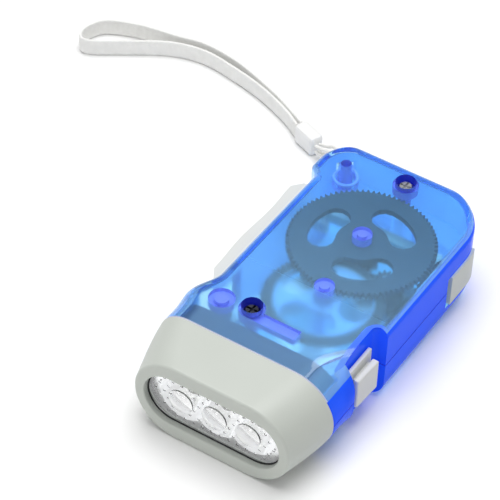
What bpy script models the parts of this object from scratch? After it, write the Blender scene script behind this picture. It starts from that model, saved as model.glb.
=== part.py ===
"""Hand-squeezed dynamo torch: a squeeze lever drives a gear train and generator in a see-through housing.

The torch lies on its broad face. The beam points along -Y, the lever is on the -X side, and the origin is
on the resting face. Lengths are in metres.
"""

import math

import bmesh
import bpy
from mathutils import Matrix, Vector

MM = 0.001

# Clearances and shared small sizes
GAP = 0.3 * MM
OVERRUN = 1.0 * MM
SINK = 0.5 * MM
LEAST_STEP = 0.05 * MM
ROUND_STEPS = 20
SMALL_STEPS = 10
SHARP_EDGE = math.radians(32)

# Housing
BODY_WIDTH = 50.0 * MM
BODY_THICKNESS = 24.0 * MM
SHELL_LENGTH = 77.0 * MM
NOSE_LENGTH = 17.0 * MM
WALL = 2.0 * MM
TOP_EDGE_RADIUS = 2.5 * MM
BOTTOM_EDGE_RADIUS = 6.0 * MM
SEAM_SIDE_RADIUS = 11.8 * MM
TAIL_RIGHT_RADIUS = 14.0 * MM
TAIL_LEFT_RADIUS = 7.0 * MM
TAIL_LEFT_INSET = 2.5 * MM
ROUND_SIDE_LENGTH = 4.0 * MM
ROUND_SIDE_FADE = 16.0 * MM
CORNER_POINTS = 5

NOSE_FRONT_Y = -(SHELL_LENGTH + NOSE_LENGTH) / 2
SEAM_Y = NOSE_FRONT_Y + NOSE_LENGTH
TAIL_Y = SEAM_Y + SHELL_LENGTH
HALF_WIDTH = BODY_WIDTH / 2
MID_Z = BODY_THICKNESS / 2
PARTING_Z = MID_Z
FLOOR_Z = WALL
ROOF_Z = BODY_THICKNESS - WALL

# Recess in the left wall that the lever folds into
LEVER_RECESS = 5.0 * MM
BULGE_LENGTH = 8.0 * MM
BULGE_FADE = 10.0 * MM
RECESS_END_FROM_TAIL = 16.0 * MM
RECESS_END_FADE = 3.5 * MM
BULGE_END_Y = SEAM_Y + BULGE_LENGTH
RECESS_END_Y = TAIL_Y - RECESS_END_FROM_TAIL
TAIL_BULGE_Y = RECESS_END_Y + RECESS_END_FADE
RECESS_X = -HALF_WIDTH + LEVER_RECESS
TAIL_LEFT_X = -HALF_WIDTH + TAIL_LEFT_INSET

# Thumb pocket in the right wall
POCKET_DEPTH = 3.8 * MM
POCKET_START = 8.0 * MM
POCKET_LENGTH = 14.7 * MM
POCKET_RAMP = 0.8 * MM
POCKET_EDGE_RADIUS = 1.2 * MM
POCKET_FOOT_RADIUS = 3.5 * MM
POCKET_X = HALF_WIDTH - POCKET_DEPTH
POCKET_FRONT_Y = SEAM_Y + POCKET_START
POCKET_REAR_Y = POCKET_FRONT_Y + POCKET_LENGTH

# Gear train
COARSE_MODULE = 0.8 * MM
FINE_MODULE = 0.45 * MM
PRESSURE_ANGLE = math.radians(25)
ADDENDUM_SHARE = 0.85
DEDENDUM_SHARE = 1.15
COARSE_BACKLASH = 0.2 * MM
FINE_BACKLASH = 0.14 * MM
DRIVE_PINION_TEETH = 10
IDLER_PINION_TEETH = 10
IDLER_FEWER_TEETH = 16
ROTOR_PINION_TEETH = 10
DRIVE_SIDE_ROOM = 2.4 * MM
DRIVE_LEFT_ROOM = 0.7 * MM
DRIVE_TAIL_ROOM = 8.15 * MM
DRIVE_FROM_TAIL = 27.5 * MM
PIVOT_FROM_RECESS = 5.0 * MM
PIVOT_FROM_SEAM = 10.4 * MM
IDLER_OFFSET_X = 1.8 * MM
ROTOR_BEARING = math.radians(60)
RACK_BELOW_PARTING = 1.1 * MM
RACK_FROM_IDLER = 0.9 * MM
IDLER_THICKNESS = 1.6 * MM
IDLER_FROM_DRIVE = 0.6 * MM
DRIVE_THICKNESS = 1.6 * MM
DRIVE_FROM_ROOF = 2.6 * MM
DRIVE_WINDOWS = 3
DRIVE_WINDOW_SHARES = (0.36, 0.74)
DRIVE_WINDOW_SPAN = math.radians(48)
DRIVE_WINDOW_TURN = math.radians(62)
IDLER_WINDOWS = 3
IDLER_WINDOW_SHARES = (0.3, 0.8)
IDLER_WINDOW_SPAN = math.radians(52)
IDLER_WINDOW_TURN = math.radians(30)

INSIDE_WIDTH = HALF_WIDTH - WALL - (RECESS_X + WALL)
DRIVE_SPACE = min(INSIDE_WIDTH - DRIVE_SIDE_ROOM, 2 * (DRIVE_FROM_TAIL - DRIVE_TAIL_ROOM))
DRIVE_TEETH = math.floor(DRIVE_SPACE / FINE_MODULE - 2 * ADDENDUM_SHARE)
IDLER_TEETH = DRIVE_TEETH - IDLER_FEWER_TEETH
DRIVE_RADIUS = FINE_MODULE * DRIVE_TEETH / 2
DRIVE_X = RECESS_X + WALL + DRIVE_LEFT_ROOM + DRIVE_RADIUS
DRIVE_Y = TAIL_Y - DRIVE_FROM_TAIL
PIVOT_X = RECESS_X + PIVOT_FROM_RECESS
PIVOT_ROOM = math.hypot(DRIVE_X - PIVOT_X, DRIVE_Y - SEAM_Y - PIVOT_FROM_SEAM)
RACK_TEETH = math.floor(2 * PIVOT_ROOM / COARSE_MODULE) - DRIVE_PINION_TEETH
RACK_RADIUS = COARSE_MODULE * RACK_TEETH / 2
DRIVE_PINION_RADIUS = COARSE_MODULE * DRIVE_PINION_TEETH / 2
IDLER_PINION_RADIUS = FINE_MODULE * IDLER_PINION_TEETH / 2
IDLER_RADIUS = FINE_MODULE * IDLER_TEETH / 2
ROTOR_PINION_RADIUS = FINE_MODULE * ROTOR_PINION_TEETH / 2

DRIVE_AXIS = Vector((DRIVE_X, DRIVE_Y, 0))
PIVOT_REACH = RACK_RADIUS + DRIVE_PINION_RADIUS
PIVOT_Y = DRIVE_Y - math.sqrt(PIVOT_REACH**2 - (DRIVE_X - PIVOT_X) ** 2)
PIVOT_AXIS = Vector((PIVOT_X, PIVOT_Y, 0))
IDLER_REACH = DRIVE_RADIUS + IDLER_PINION_RADIUS
IDLER_X = DRIVE_X + IDLER_OFFSET_X
IDLER_Y = DRIVE_Y - math.sqrt(IDLER_REACH**2 - IDLER_OFFSET_X**2)
IDLER_AXIS = Vector((IDLER_X, IDLER_Y, 0))
ROTOR_REACH = IDLER_RADIUS + ROTOR_PINION_RADIUS
ROTOR_X = IDLER_X + ROTOR_REACH * math.cos(ROTOR_BEARING)
ROTOR_Y = IDLER_Y + ROTOR_REACH * math.sin(ROTOR_BEARING)
ROTOR_AXIS = Vector((ROTOR_X, ROTOR_Y, 0))

DRIVE_TOP_Z = ROOF_Z - DRIVE_FROM_ROOF
DRIVE_BOTTOM_Z = DRIVE_TOP_Z - DRIVE_THICKNESS
IDLER_TOP_Z = DRIVE_BOTTOM_Z - IDLER_FROM_DRIVE
IDLER_BOTTOM_Z = IDLER_TOP_Z - IDLER_THICKNESS
RACK_TOP_Z = IDLER_BOTTOM_Z - RACK_FROM_IDLER
RACK_BOTTOM_Z = PARTING_Z - RACK_BELOW_PARTING

# Pins and bosses
PIVOT_PIN_RADIUS = 1.5 * MM
AXLE_RADIUS = 1.0 * MM
ROTOR_PIN_RADIUS = 0.75 * MM
PIN_INSET = 1.0 * MM
BOSS_WALL = 1.3 * MM
PIVOT_BOSS_RADIUS = 3.4 * MM
RATCHET_SPRING_ROOM = 3.9 * MM
DRIVE_FOOT_Z = RACK_BOTTOM_Z - RATCHET_SPRING_ROOM

# Lever
LEVER_TRAVEL = math.radians(20)
LEVER_FROM_FLOOR = 2.5 * MM
LEVER_FROM_ROOF = 2.5 * MM
LEVER_PROUD = 4.2 * MM
LEVER_HEEL = 10.6 * MM
LEVER_WAVE = 0.3 * MM
LEVER_WAVES = 1.5
LEVER_TIP_TAPER = 3.6 * MM
LEVER_TIP_SHARE = 0.7
HUB_RADIUS = 3.6 * MM
ARM_HALF_WIDTH = 2.5 * MM
RIM_DEPTH = 4.4 * MM
SPOKE_START = math.radians(3)
SPOKE_FROM_IDLER = 1.6 * MM
SPOKE_SPREAD = math.radians(35)
LEVER_DOOR_START = 0.4 * MM
LEVER_DOOR_END = 13.6 * MM
LEVER_BOTTOM_Z = FLOOR_Z + LEVER_FROM_FLOOR
LEVER_TOP_Z = ROOF_Z - LEVER_FROM_ROOF

# Lever catch and lock
LOCK_TRAVEL = 1.2 * MM
CATCH_FROM_PARTING = 0.5 * MM
CATCH_HEIGHT = 3.0 * MM
CATCH_FROM_RECESS_END = 4.5 * MM
CATCH_WIDTH = 1.5 * MM
CATCH_REACH = 7.7 * MM
CATCH_TIP = 1.4 * MM
CATCH_PIN_RADIUS = 0.7 * MM
CATCH_PIN_FROM_TIP = 1.8 * MM
LOCK_BAR_DEPTH = 3.0 * MM
LOCK_TOOTH_LENGTH = 1.3 * MM
LOCK_TOOTH_WIDTH = 1.5 * MM
LOCK_BUTTON_BELOW_PARTING = 5.1 * MM
LOCK_BUTTON_ABOVE_PARTING = 4.3 * MM
LOCK_BUTTON_THICKNESS = 2.4 * MM
LOCK_BUTTON_PROUD = 0.4 * MM
LOCK_BUTTON_LENGTH = 8.3 * MM
LOCK_BUTTON_ARC = math.radians(26)
GUIDE_RIB = 1.4 * MM
GUIDE_PLACES_SHARES = (0.28, 0.72)
CATCH_TOP_Z = PARTING_Z - CATCH_FROM_PARTING
CATCH_BOTTOM_Z = CATCH_TOP_Z - CATCH_HEIGHT
CATCH_TIP_X = RECESS_X - GAP + CATCH_REACH
CATCH_PIN_X = CATCH_TIP_X - CATCH_PIN_FROM_TIP
LOCK_BUTTON_BOTTOM_Z = PARTING_Z - LOCK_BUTTON_BELOW_PARTING
LOCK_BUTTON_TOP_Z = PARTING_Z + LOCK_BUTTON_ABOVE_PARTING

# Thumb switch
SWITCH_TRAVEL = 2.0 * MM
SWITCH_PLATE = 1.1 * MM
SWITCH_PLATE_LENGTH = 10.5 * MM
SWITCH_PLATE_BELOW_PARTING = 5.5 * MM
SWITCH_PLATE_FROM_ROOF = 2.5 * MM
SWITCH_BLOCK_START = 0.8 * MM
SWITCH_BLOCK_LENGTH = 9.0 * MM
SWITCH_BLOCK_BELOW_PARTING = 4.0 * MM
SWITCH_BLOCK_ABOVE_PARTING = 5.2 * MM
SWITCH_BLOCK_FRONT = 1.3 * MM
SWITCH_BLOCK_REAR = 2.6 * MM
SWITCH_STEM = 2.0 * MM
SWITCH_STEM_HEIGHT = 3.0 * MM
SWITCH_STEM_FROM_FRONT = 4.0 * MM
SWITCH_STEM_REACH = 3.1 * MM
SWITCH_BOARD_SIDE = POCKET_X - SWITCH_STEM_REACH
SWITCH_PLATE_BOTTOM_Z = PARTING_Z - SWITCH_PLATE_BELOW_PARTING
SWITCH_PLATE_TOP_Z = ROOF_Z - SWITCH_PLATE_FROM_ROOF
SWITCH_BLOCK_BOTTOM_Z = PARTING_Z - SWITCH_BLOCK_BELOW_PARTING
SWITCH_BLOCK_TOP_Z = PARTING_Z + SWITCH_BLOCK_ABOVE_PARTING

# Nose, lens, reflector and light sources
NOSE_TAPER = 2.9 * MM
NOSE_EDGE_RADIUS = 1.1 * MM
WINDOW_SIDE_RIM = 2.9 * MM
WINDOW_RIM = 4.3 * MM
LENS_SEAT_DEPTH = 2.1 * MM
LENS_LIP = 0.7 * MM
LENS_THICKNESS = 1.5 * MM
LENS_DOME_HEIGHT = 1.5 * MM
LENS_DOME_RADIUS = 4.5 * MM
SKIRT_LENGTH = 4.2 * MM
REFLECTOR_DEPTH = 8.8 * MM
CUP_FROM_WINDOW = 0.8 * MM
CUP_BACK_RADIUS = 2.9 * MM
CUP_FOCUS_POWER = 0.6
LED_RADIUS = 2.5 * MM
LED_FLANGE_RADIUS = 2.9 * MM
LED_FLANGE = 1.0 * MM
LED_LENGTH = 8.6 * MM
LED_BOARD = 1.2 * MM
LED_NAMES = ("led_left", "led_centre", "led_right")
FACE_HALF_WIDTH = HALF_WIDTH - NOSE_TAPER
WINDOW_HALF_WIDTH = FACE_HALF_WIDTH - WINDOW_SIDE_RIM
WINDOW_HALF_HEIGHT = MID_Z - WINDOW_RIM
CUP_RADIUS = WINDOW_HALF_HEIGHT - CUP_FROM_WINDOW
LED_SPACING = WINDOW_HALF_WIDTH / (len(LED_NAMES) - 1)

# Screws
SCREW_HOLE_RADIUS = 2.75 * MM
SCREW_HEAD_RADIUS = 2.3 * MM
SCREW_HEAD_HEIGHT = 1.4 * MM
SCREW_HEAD_DEPTH = 3.0 * MM
SCREW_RADIUS = 0.85 * MM
SCREW_BITE = 7.0 * MM
SCREW_SLOT = 0.6 * MM
SCREW_PAD_RADIUS = 3.4 * MM
SCREW_NECK_RADIUS = 1.75 * MM
SCREW_LOWER_RADIUS = 2.9 * MM
FRONT_SCREW_FROM_PIVOT = 8.0 * MM
FRONT_SCREW_FROM_SEAM = 11.7 * MM
TAIL_SCREW_FROM_DRIVE = 0.2 * MM
TAIL_SCREW_FROM_TAIL = 5.5 * MM
FRONT_SCREW = Vector((PIVOT_X + FRONT_SCREW_FROM_PIVOT, SEAM_Y + FRONT_SCREW_FROM_SEAM, 0))
TAIL_SCREW = Vector((DRIVE_X - TAIL_SCREW_FROM_DRIVE, TAIL_Y - TAIL_SCREW_FROM_TAIL, 0))
ROOF_RIB_LENGTH = 14.0 * MM
ROOF_RIB = 1.0 * MM
ROOF_RIB_HEIGHT = 4.2 * MM

# Strap post and the slot beside it
STRAP_POST_RADIUS = 1.9 * MM
STRAP_POST_FROM_LEFT = 7.1 * MM
STRAP_POST_FROM_TAIL = 7.2 * MM
STRAP_SLOT_WIDTH = 9.0 * MM
STRAP_SLOT_DEPTH = 5.2 * MM
STRAP_SLOT_ABOVE_PARTING = 0.6 * MM
STRAP_SLOT_FROM_ROOF = 3.0 * MM
STRAP_SLOT_BOTTOM_Z = PARTING_Z + STRAP_SLOT_ABOVE_PARTING
STRAP_SLOT_TOP_Z = ROOF_Z - STRAP_SLOT_FROM_ROOF
STRAP_POST = Vector((TAIL_LEFT_X + STRAP_POST_FROM_LEFT, TAIL_Y - STRAP_POST_FROM_TAIL, 0))

# Generator
STATOR_FROM_WALL = 2.225 * MM
STATOR_FROM_BOSS = 0.89 * MM
STATOR_FROM_RACK = 0.7 * MM
STATOR_SHEET = 0.5 * MM
COIL_DEPTH = 2.4 * MM
CLAW_SHEET = 0.5 * MM
CLAW_COUNT = 5
CLAW_ROOT_SPAN = math.radians(34)
CLAW_TIP_SPAN = math.radians(16)
AIR_GAP = 0.5 * MM
ROTOR_HUB_RADIUS = 1.9 * MM
BOBBIN_SHEET = 0.4 * MM
STATOR_PAD_HEIGHT = 0.8 * MM
STATOR_PAD_RADIUS = 1.0 * MM
STATOR_PADS = 3
AXLE_BOSS_RADIUS = AXLE_RADIUS + GAP + BOSS_WALL
STATOR_RADIUS = min(
    HALF_WIDTH - WALL - STATOR_FROM_WALL - ROTOR_X,
    (ROTOR_AXIS - DRIVE_AXIS).length - AXLE_BOSS_RADIUS - STATOR_FROM_BOSS,
)
STATOR_TOP_Z = RACK_BOTTOM_Z - STATOR_FROM_RACK
BOBBIN_RADIUS = STATOR_RADIUS - STATOR_SHEET - GAP
WINDING_RADIUS = BOBBIN_RADIUS - GAP
CLAW_RADIUS = BOBBIN_RADIUS - COIL_DEPTH
MAGNET_RADIUS = CLAW_RADIUS - AIR_GAP

# Cells and boards
CELL_SIDE_ROOM = 0.6 * MM
CELL_FROM_RACK = 1.25 * MM
CELL_FROM_SEAM = 14.0 * MM
CELL_FRONT_ROOM = 4.0 * MM
CELL_EDGE_SHARE = 0.15
CONTACT_SHEET = 0.25 * MM
CONTACT_WIDTH = 5.0 * MM
CONTACT_SHY = 1.0 * MM
SWITCH_BOARD = 1.0 * MM
SWITCH_BOARD_HEIGHT = 11.5 * MM
SWITCH_BOARD_LENGTH = 15.0 * MM
CELL_LEFT_X = FRONT_SCREW.x + SCREW_LOWER_RADIUS + CELL_SIDE_ROOM
CELL_RIGHT_X = SWITCH_BOARD_SIDE - SWITCH_BOARD - CELL_SIDE_ROOM
CELL_RADIUS = min((CELL_RIGHT_X - CELL_LEFT_X) / 2, CELL_FROM_SEAM - CELL_FRONT_ROOM)
CELL_X = CELL_RIGHT_X - CELL_RADIUS
CONTACT_REACH = CELL_RADIUS - CONTACT_SHY
CONTACTS_DEPTH = 2 * (GAP + CONTACT_SHEET) + GAP / 2
CELL_THICKNESS = (RACK_BOTTOM_Z - CELL_FROM_RACK - FLOOR_Z - CONTACTS_DEPTH) / 2
CELL_EDGE = CELL_THICKNESS * CELL_EDGE_SHARE

# Springs
RATCHET_SPRING_RADIUS = 2.0 * MM
RATCHET_WIRE_RADIUS = 0.3 * MM
LEVER_SPRING_RADIUS = 2.5 * MM
LEVER_WIRE_RADIUS = 0.35 * MM
SPRING_PITCH = 1.2 * MM
SPRING_TURN_POINTS = 10

# Ratchet faces between the pinion and the drive gear
RATCHET_INNER = 1.9 * MM
RATCHET_OUTER = 4.3 * MM
RATCHET_RISE = 0.9 * MM
RATCHET_TEETH = 8
RATCHET_BASE = 0.6 * MM
RATCHET_SLACK = math.radians(3)
RATCHET_FOOT_SHARE = 0.08

# Wrist strap: the route's points were chosen along the strap as it lies
BAND_WIDTH = 5.0 * MM
BAND_THICKNESS = 1.1 * MM
BAND_ROUTE = (
    (-44.4, 63.4),
    (-50.5, 67.0),
    (-61.0, 71.3),
    (-72.5, 74.0),
    (-83.5, 75.4),
    (-94.0, 73.0),
    (-106.0, 65.8),
    (-113.0, 61.2),
    (-116.6, 60.2),
    (-118.6, 62.5),
    (-118.4, 66.4),
    (-115.4, 71.0),
    (-106.0, 74.6),
    (-94.0, 76.6),
    (-84.5, 78.2),
    (-71.5, 76.4),
    (-56.5, 71.2),
    (-49.5, 67.9),
    (-43.8, 64.9),
)
BAND_SPACING = 4.0 * MM
FERRULE_LENGTH = 8.2 * MM
FERRULE_WIDTH = 4.4 * MM
FERRULE_HEIGHT = 6.2 * MM
FERRULE_CENTRE = (-39.9 * MM, 62.4 * MM)
FERRULE_TURN = math.radians(-21.5)
CORD_RADIUS = 0.5 * MM
CORD_SPACING = 2.4 * MM
CORD_ROUTES = {
    "strap_cord_a": (
        (-35.6, 59.6, 2.0),
        (-31.5, 56.6, 4.6),
        (-26.0, 52.0, 10.2),
        (-21.6, 46.9, 14.2),
        (-18.6, 42.4, 14.5),
        (-18.1, 38.4, 14.6),
        (-15.4, 36.5, 14.8),
        (-12.4, 38.0, 15.0),
        (-12.6, 41.4, 15.2),
        (-16.2, 44.4, 15.2),
        (-20.4, 48.6, 13.4),
        (-27.4, 54.4, 9.4),
        (-31.8, 58.2, 4.4),
        (-35.3, 60.4, 2.0),
    ),
    "strap_cord_b": (
        (-35.7, 59.4, 4.4),
        (-31.5, 56.2, 7.4),
        (-25.6, 51.0, 13.2),
        (-21.0, 46.3, 16.6),
        (-18.3, 42.2, 17.2),
        (-18.1, 38.4, 17.2),
        (-15.4, 36.5, 17.2),
        (-12.4, 38.0, 17.2),
        (-12.6, 41.4, 17.2),
        (-16.2, 44.2, 17.2),
        (-19.9, 48.4, 16.0),
        (-27.0, 54.2, 12.0),
        (-31.4, 58.2, 7.2),
        (-35.2, 60.6, 4.4),
    ),
}

# Finishes: colour, roughness, metallic value
FINISHES = {
    "blue_shell": ((0.03, 0.16, 0.85), 0.12, 0.0),
    "grey_plastic": ((0.62, 0.65, 0.60), 0.38, 0.0),
    "dark_gear": ((0.10, 0.11, 0.12), 0.45, 0.0),
    "clear_plastic": ((0.92, 0.94, 0.95), 0.05, 0.0),
    "chrome": ((0.85, 0.86, 0.88), 0.08, 1.0),
    "steel": ((0.60, 0.61, 0.63), 0.25, 1.0),
    "spring_steel": ((0.45, 0.46, 0.48), 0.30, 1.0),
    "magnet": ((0.12, 0.12, 0.13), 0.40, 0.6),
    "copper": ((0.72, 0.30, 0.12), 0.30, 1.0),
    "board": ((0.05, 0.22, 0.10), 0.50, 0.0),
    "white_led": ((0.90, 0.90, 0.86), 0.10, 0.0),
    "white_weave": ((0.86, 0.86, 0.83), 0.85, 0.0),
    "white_plastic": ((0.82, 0.83, 0.82), 0.40, 0.0),
}


def finish_of(name):
    finish = bpy.data.materials.get(name)
    if finish:
        return finish
    colour, roughness, metallic = FINISHES[name]
    finish = bpy.data.materials.new(name)
    finish.use_nodes = True
    shader = finish.node_tree.nodes["Principled BSDF"]
    shader.inputs["Base Color"].default_value = (*colour, 1)
    shader.inputs["Roughness"].default_value = roughness
    shader.inputs["Metallic"].default_value = metallic
    finish.diffuse_color = (*colour, 1)
    return finish


def add_object(name, mesh, finish):
    obj = bpy.data.objects.new(name, mesh)
    bpy.context.scene.collection.objects.link(obj)
    if finish:
        mesh.materials.append(finish_of(finish))
    return obj


def add_solid(name, points, faces, finish=None):
    mesh = bpy.data.meshes.new(name)
    mesh.from_pydata(points, [], faces)
    solid = bmesh.new()
    solid.from_mesh(mesh)
    bmesh.ops.recalc_face_normals(solid, faces=solid.faces)
    solid.to_mesh(mesh)
    solid.free()
    return add_object(name, mesh, finish)


def move_origin(obj, axis):
    """Puts an object's origin on its joint's axis and leaves its shape where it is."""
    obj.data.transform(Matrix.Translation(-axis))
    obj.location = axis


def combine(target, tools, operation, solver="EXACT"):
    for tool in tools:
        step = target.modifiers.new(tool.name, "BOOLEAN")
        step.operation = operation
        step.solver = solver
        step.object = tool
        tool.hide_render = True
        tool.display_type = "WIRE"


def carve(target, *tools):
    combine(target, tools, "DIFFERENCE")


def fuse(target, *tools):
    combine(target, tools, "UNION")


def lofted(name, rings, finish=None, closed=False):
    """Joins rings of equal point counts. A closed loft also joins the last ring to the first."""
    count = len(rings[0])
    points = [point for ring in rings for point in ring]
    faces = []
    for index in range(len(rings) - (not closed)):
        following = (index + 1) % len(rings)
        for corner in range(count):
            beside = (corner + 1) % count
            faces.append(
                (
                    index * count + corner,
                    index * count + beside,
                    following * count + beside,
                    following * count + corner,
                )
            )
    if not closed:
        faces.append(tuple(range(count)))
        faces.append(tuple(range((len(rings) - 1) * count, len(rings) * count)))
    return add_solid(name, points, faces, finish)


def prism(name, outline, low, high, finish=None):
    rings = [[(x, y, level) for x, y in outline] for level in (low, high)]
    return lofted(name, rings, finish)


def box(name, low, high, finish=None):
    outline = ((low[0], low[1]), (high[0], low[1]), (high[0], high[1]), (low[0], high[1]))
    return prism(name, outline, low[2], high[2], finish)


def turned(name, profile, centre, finish=None, steps=ROUND_STEPS, turn=None):
    """Turns a profile of (radius, height) points about an upright axis, or the axis that turn gives."""
    points = []
    rows = []
    for radius, height in profile:
        if radius == 0:
            rows.append([len(points)] * steps)
            points.append(Vector((0, 0, height)))
            continue
        rows.append([len(points) + step for step in range(steps)])
        for step in range(steps):
            angle = 2 * math.pi * step / steps
            points.append(Vector((radius * math.cos(angle), radius * math.sin(angle), height)))
    if profile[0][0] != 0:
        rows.append(rows[0])
    faces = []
    for row, following in zip(rows[:-1], rows[1:]):
        for step in range(steps):
            beside = (step + 1) % steps
            corners = (row[step], row[beside], following[beside], following[step])
            faces.append(tuple(dict.fromkeys(corners)))
    if turn:
        points = [turn @ point for point in points]
    return add_solid(name, [point + centre for point in points], faces, finish)


def cylinder(name, centre, radius, low, high, finish=None, steps=ROUND_STEPS):
    return turned(name, ((0, low), (radius, low), (radius, high), (0, high)), centre, finish, steps)


def sleeve(name, centre, inner, outer, low, high, finish=None, steps=ROUND_STEPS):
    profile = ((inner, low), (outer, low), (outer, high), (inner, high))
    return turned(name, profile, centre, finish, steps)


def eased(share):
    """A share from 0 to 1 with a soft start and end."""
    share = min(max(share, 0), 1)
    return (1 - math.cos(math.pi * share)) / 2


def left_edge(y, inset):
    """X of the left wall at a station, inset from the outer face."""
    if y <= RECESS_END_Y:
        out = -HALF_WIDTH + LEVER_RECESS * eased((y - BULGE_END_Y) / BULGE_FADE)
    else:
        share = eased((y - RECESS_END_Y) / RECESS_END_FADE)
        out = RECESS_X + (TAIL_LEFT_X - RECESS_X) * share
    corner_y = TAIL_Y - TAIL_LEFT_RADIUS
    if y <= corner_y:
        return out + inset
    radius = TAIL_LEFT_RADIUS - inset
    return TAIL_LEFT_X + TAIL_LEFT_RADIUS - math.sqrt(max(radius**2 - (y - corner_y) ** 2, 0))


def right_edge(y, inset):
    """X of the right wall at a station, inset from the outer face."""
    corner_y = TAIL_Y - TAIL_RIGHT_RADIUS
    if y > corner_y:
        radius = TAIL_RIGHT_RADIUS - inset
        return HALF_WIDTH - TAIL_RIGHT_RADIUS + math.sqrt(max(radius**2 - (y - corner_y) ** 2, 0))
    into_front = (y - POCKET_FRONT_Y + inset) / POCKET_RAMP
    into_rear = (POCKET_REAR_Y + inset - y) / POCKET_RAMP
    depth = POCKET_DEPTH * min(max(min(into_front, into_rear), 0), 1)
    return HALF_WIDTH - depth - inset


def in_pocket(y, inset):
    return POCKET_FRONT_Y - inset < y < POCKET_REAR_Y + inset


def end_drop(y, inset, radius):
    """How far an edge has come in at a station near the tail's end, by its edge radius."""
    radius = max(radius - inset, GAP)
    into = y - (TAIL_Y - inset - radius)
    if into <= 0:
        return 0
    return radius - math.sqrt(max(radius**2 - into**2, 0))


def corner_ring(left, right, low, high, radii, y):
    """An upright ring with four rounded corners: low right, high right, high left, low left."""
    corners = (
        (right, low, -1, 1, -math.pi / 2),
        (right, high, -1, -1, 0),
        (left, high, 1, -1, math.pi / 2),
        (left, low, 1, 1, math.pi),
    )
    widest = min(right - left, high - low) / 2
    ring = []
    for (x, z, inward_x, inward_z, start), radius in zip(corners, radii):
        radius = min(radius, widest)
        for step in range(CORNER_POINTS):
            angle = start + math.pi / 2 * step / (CORNER_POINTS - 1)
            ring.append(
                (
                    x + inward_x * radius + radius * math.cos(angle),
                    y,
                    z + inward_z * radius + radius * math.sin(angle),
                )
            )
    return ring


def housing_ring(y, inset, ring_y):
    fade = eased((y - SEAM_Y - ROUND_SIDE_LENGTH) / ROUND_SIDE_FADE)
    top = SEAM_SIDE_RADIUS + (TOP_EDGE_RADIUS - SEAM_SIDE_RADIUS) * fade
    bottom = SEAM_SIDE_RADIUS + (BOTTOM_EDGE_RADIUS - SEAM_SIDE_RADIUS) * fade
    top_right = POCKET_EDGE_RADIUS if in_pocket(y, inset) else top
    low_right = POCKET_FOOT_RADIUS if in_pocket(y, inset) else bottom
    radii = [max(radius - inset, GAP) for radius in (low_right, top_right, top, bottom)]
    low = inset + end_drop(y, inset, BOTTOM_EDGE_RADIUS)
    high = BODY_THICKNESS - inset - end_drop(y, inset, TOP_EDGE_RADIUS)
    return corner_ring(left_edge(y, inset), right_edge(y, inset), low, high, radii, ring_y)


def housing_loft(name, inset, finish=None):
    stations = [SEAM_Y, SEAM_Y + ROUND_SIDE_LENGTH, RECESS_END_Y, TAIL_BULGE_Y]
    pocket = (POCKET_FRONT_Y - inset, POCKET_REAR_Y + inset - POCKET_RAMP)
    for start in pocket:
        stations += [start, start + POCKET_RAMP]
    fade_steps = 5
    stations += [BULGE_END_Y + BULGE_FADE * step / fade_steps for step in range(fade_steps + 1)]
    end_steps = 3
    stations += [RECESS_END_Y + RECESS_END_FADE * step / end_steps for step in range(1, end_steps)]
    corner_steps = 7
    for step in range(corner_steps + 1):
        angle = math.pi / 2 * step / corner_steps
        stations.append(TAIL_Y - TAIL_RIGHT_RADIUS + (TAIL_RIGHT_RADIUS - inset) * math.sin(angle))
    rings = []
    last = None
    for station in sorted(stations):
        if last is None or station - last > LEAST_STEP:
            rings.append(housing_ring(station, inset, station))
            last = station
    if inset:
        rings.insert(0, housing_ring(SEAM_Y, inset, SEAM_Y - OVERRUN))
    return lofted(name, rings, finish)


def gear_outline(teeth, module, backlash, turn, first=0, last=None):
    """Tooth flanks as involutes, thinned by the backlash. A tooth's middle lies at the turn angle."""
    pitch = module * teeth / 2
    tip = pitch + ADDENDUM_SHARE * module
    root = pitch - DEDENDUM_SHARE * module
    base = pitch * math.cos(PRESSURE_ANGLE)
    half_tooth = math.pi / (2 * teeth) - backlash / (2 * pitch)
    radii = [root, tip] if root > base else [root, base, pitch, tip]

    def involute(radius):
        if radius <= base:
            return 0
        return math.sqrt((radius / base) ** 2 - 1) - math.acos(base / radius)

    flank = [(radius, half_tooth + involute(pitch) - involute(radius)) for radius in radii]
    outline = []
    for tooth in range(first, teeth if last is None else last):
        middle = turn + 2 * math.pi * tooth / teeth
        for radius, half in flank:
            outline.append((radius, middle - half))
        for radius, half in reversed(flank):
            outline.append((radius, middle + half))
    return [(radius * math.cos(angle), radius * math.sin(angle)) for radius, angle in outline]


def shifted(outline, centre):
    return [(x + centre.x, y + centre.y) for x, y in outline]


def bearing(start, end):
    return math.atan2(end.y - start.y, end.x - start.x)


def meshing_turn(centre, turn, teeth, other_centre, other_teeth):
    """The turn that sets a tooth gap of the other gear on the first gear's tooth."""
    line = bearing(centre, other_centre)
    share = (line - turn) * teeth / (2 * math.pi)
    return line + math.pi - 2 * math.pi / other_teeth * (0.5 - share)


RACK_TURN = bearing(PIVOT_AXIS, DRIVE_AXIS)
IDLER_SIDE_REACH = (IDLER_AXIS - PIVOT_AXIS).length
SPOKE_END = (
    RACK_TURN
    - bearing(PIVOT_AXIS, IDLER_AXIS)
    - math.asin((IDLER_PINION_RADIUS + SPOKE_FROM_IDLER) / IDLER_SIDE_REACH)
)
DRIVE_PINION_TURN = meshing_turn(PIVOT_AXIS, RACK_TURN, RACK_TEETH, DRIVE_AXIS, DRIVE_PINION_TEETH)
DRIVE_TURN = 0.0
IDLER_PINION_TURN = meshing_turn(DRIVE_AXIS, DRIVE_TURN, DRIVE_TEETH, IDLER_AXIS, IDLER_PINION_TEETH)
IDLER_TURN = 0.0
ROTOR_PINION_TURN = meshing_turn(IDLER_AXIS, IDLER_TURN, IDLER_TEETH, ROTOR_AXIS, ROTOR_PINION_TEETH)


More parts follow.
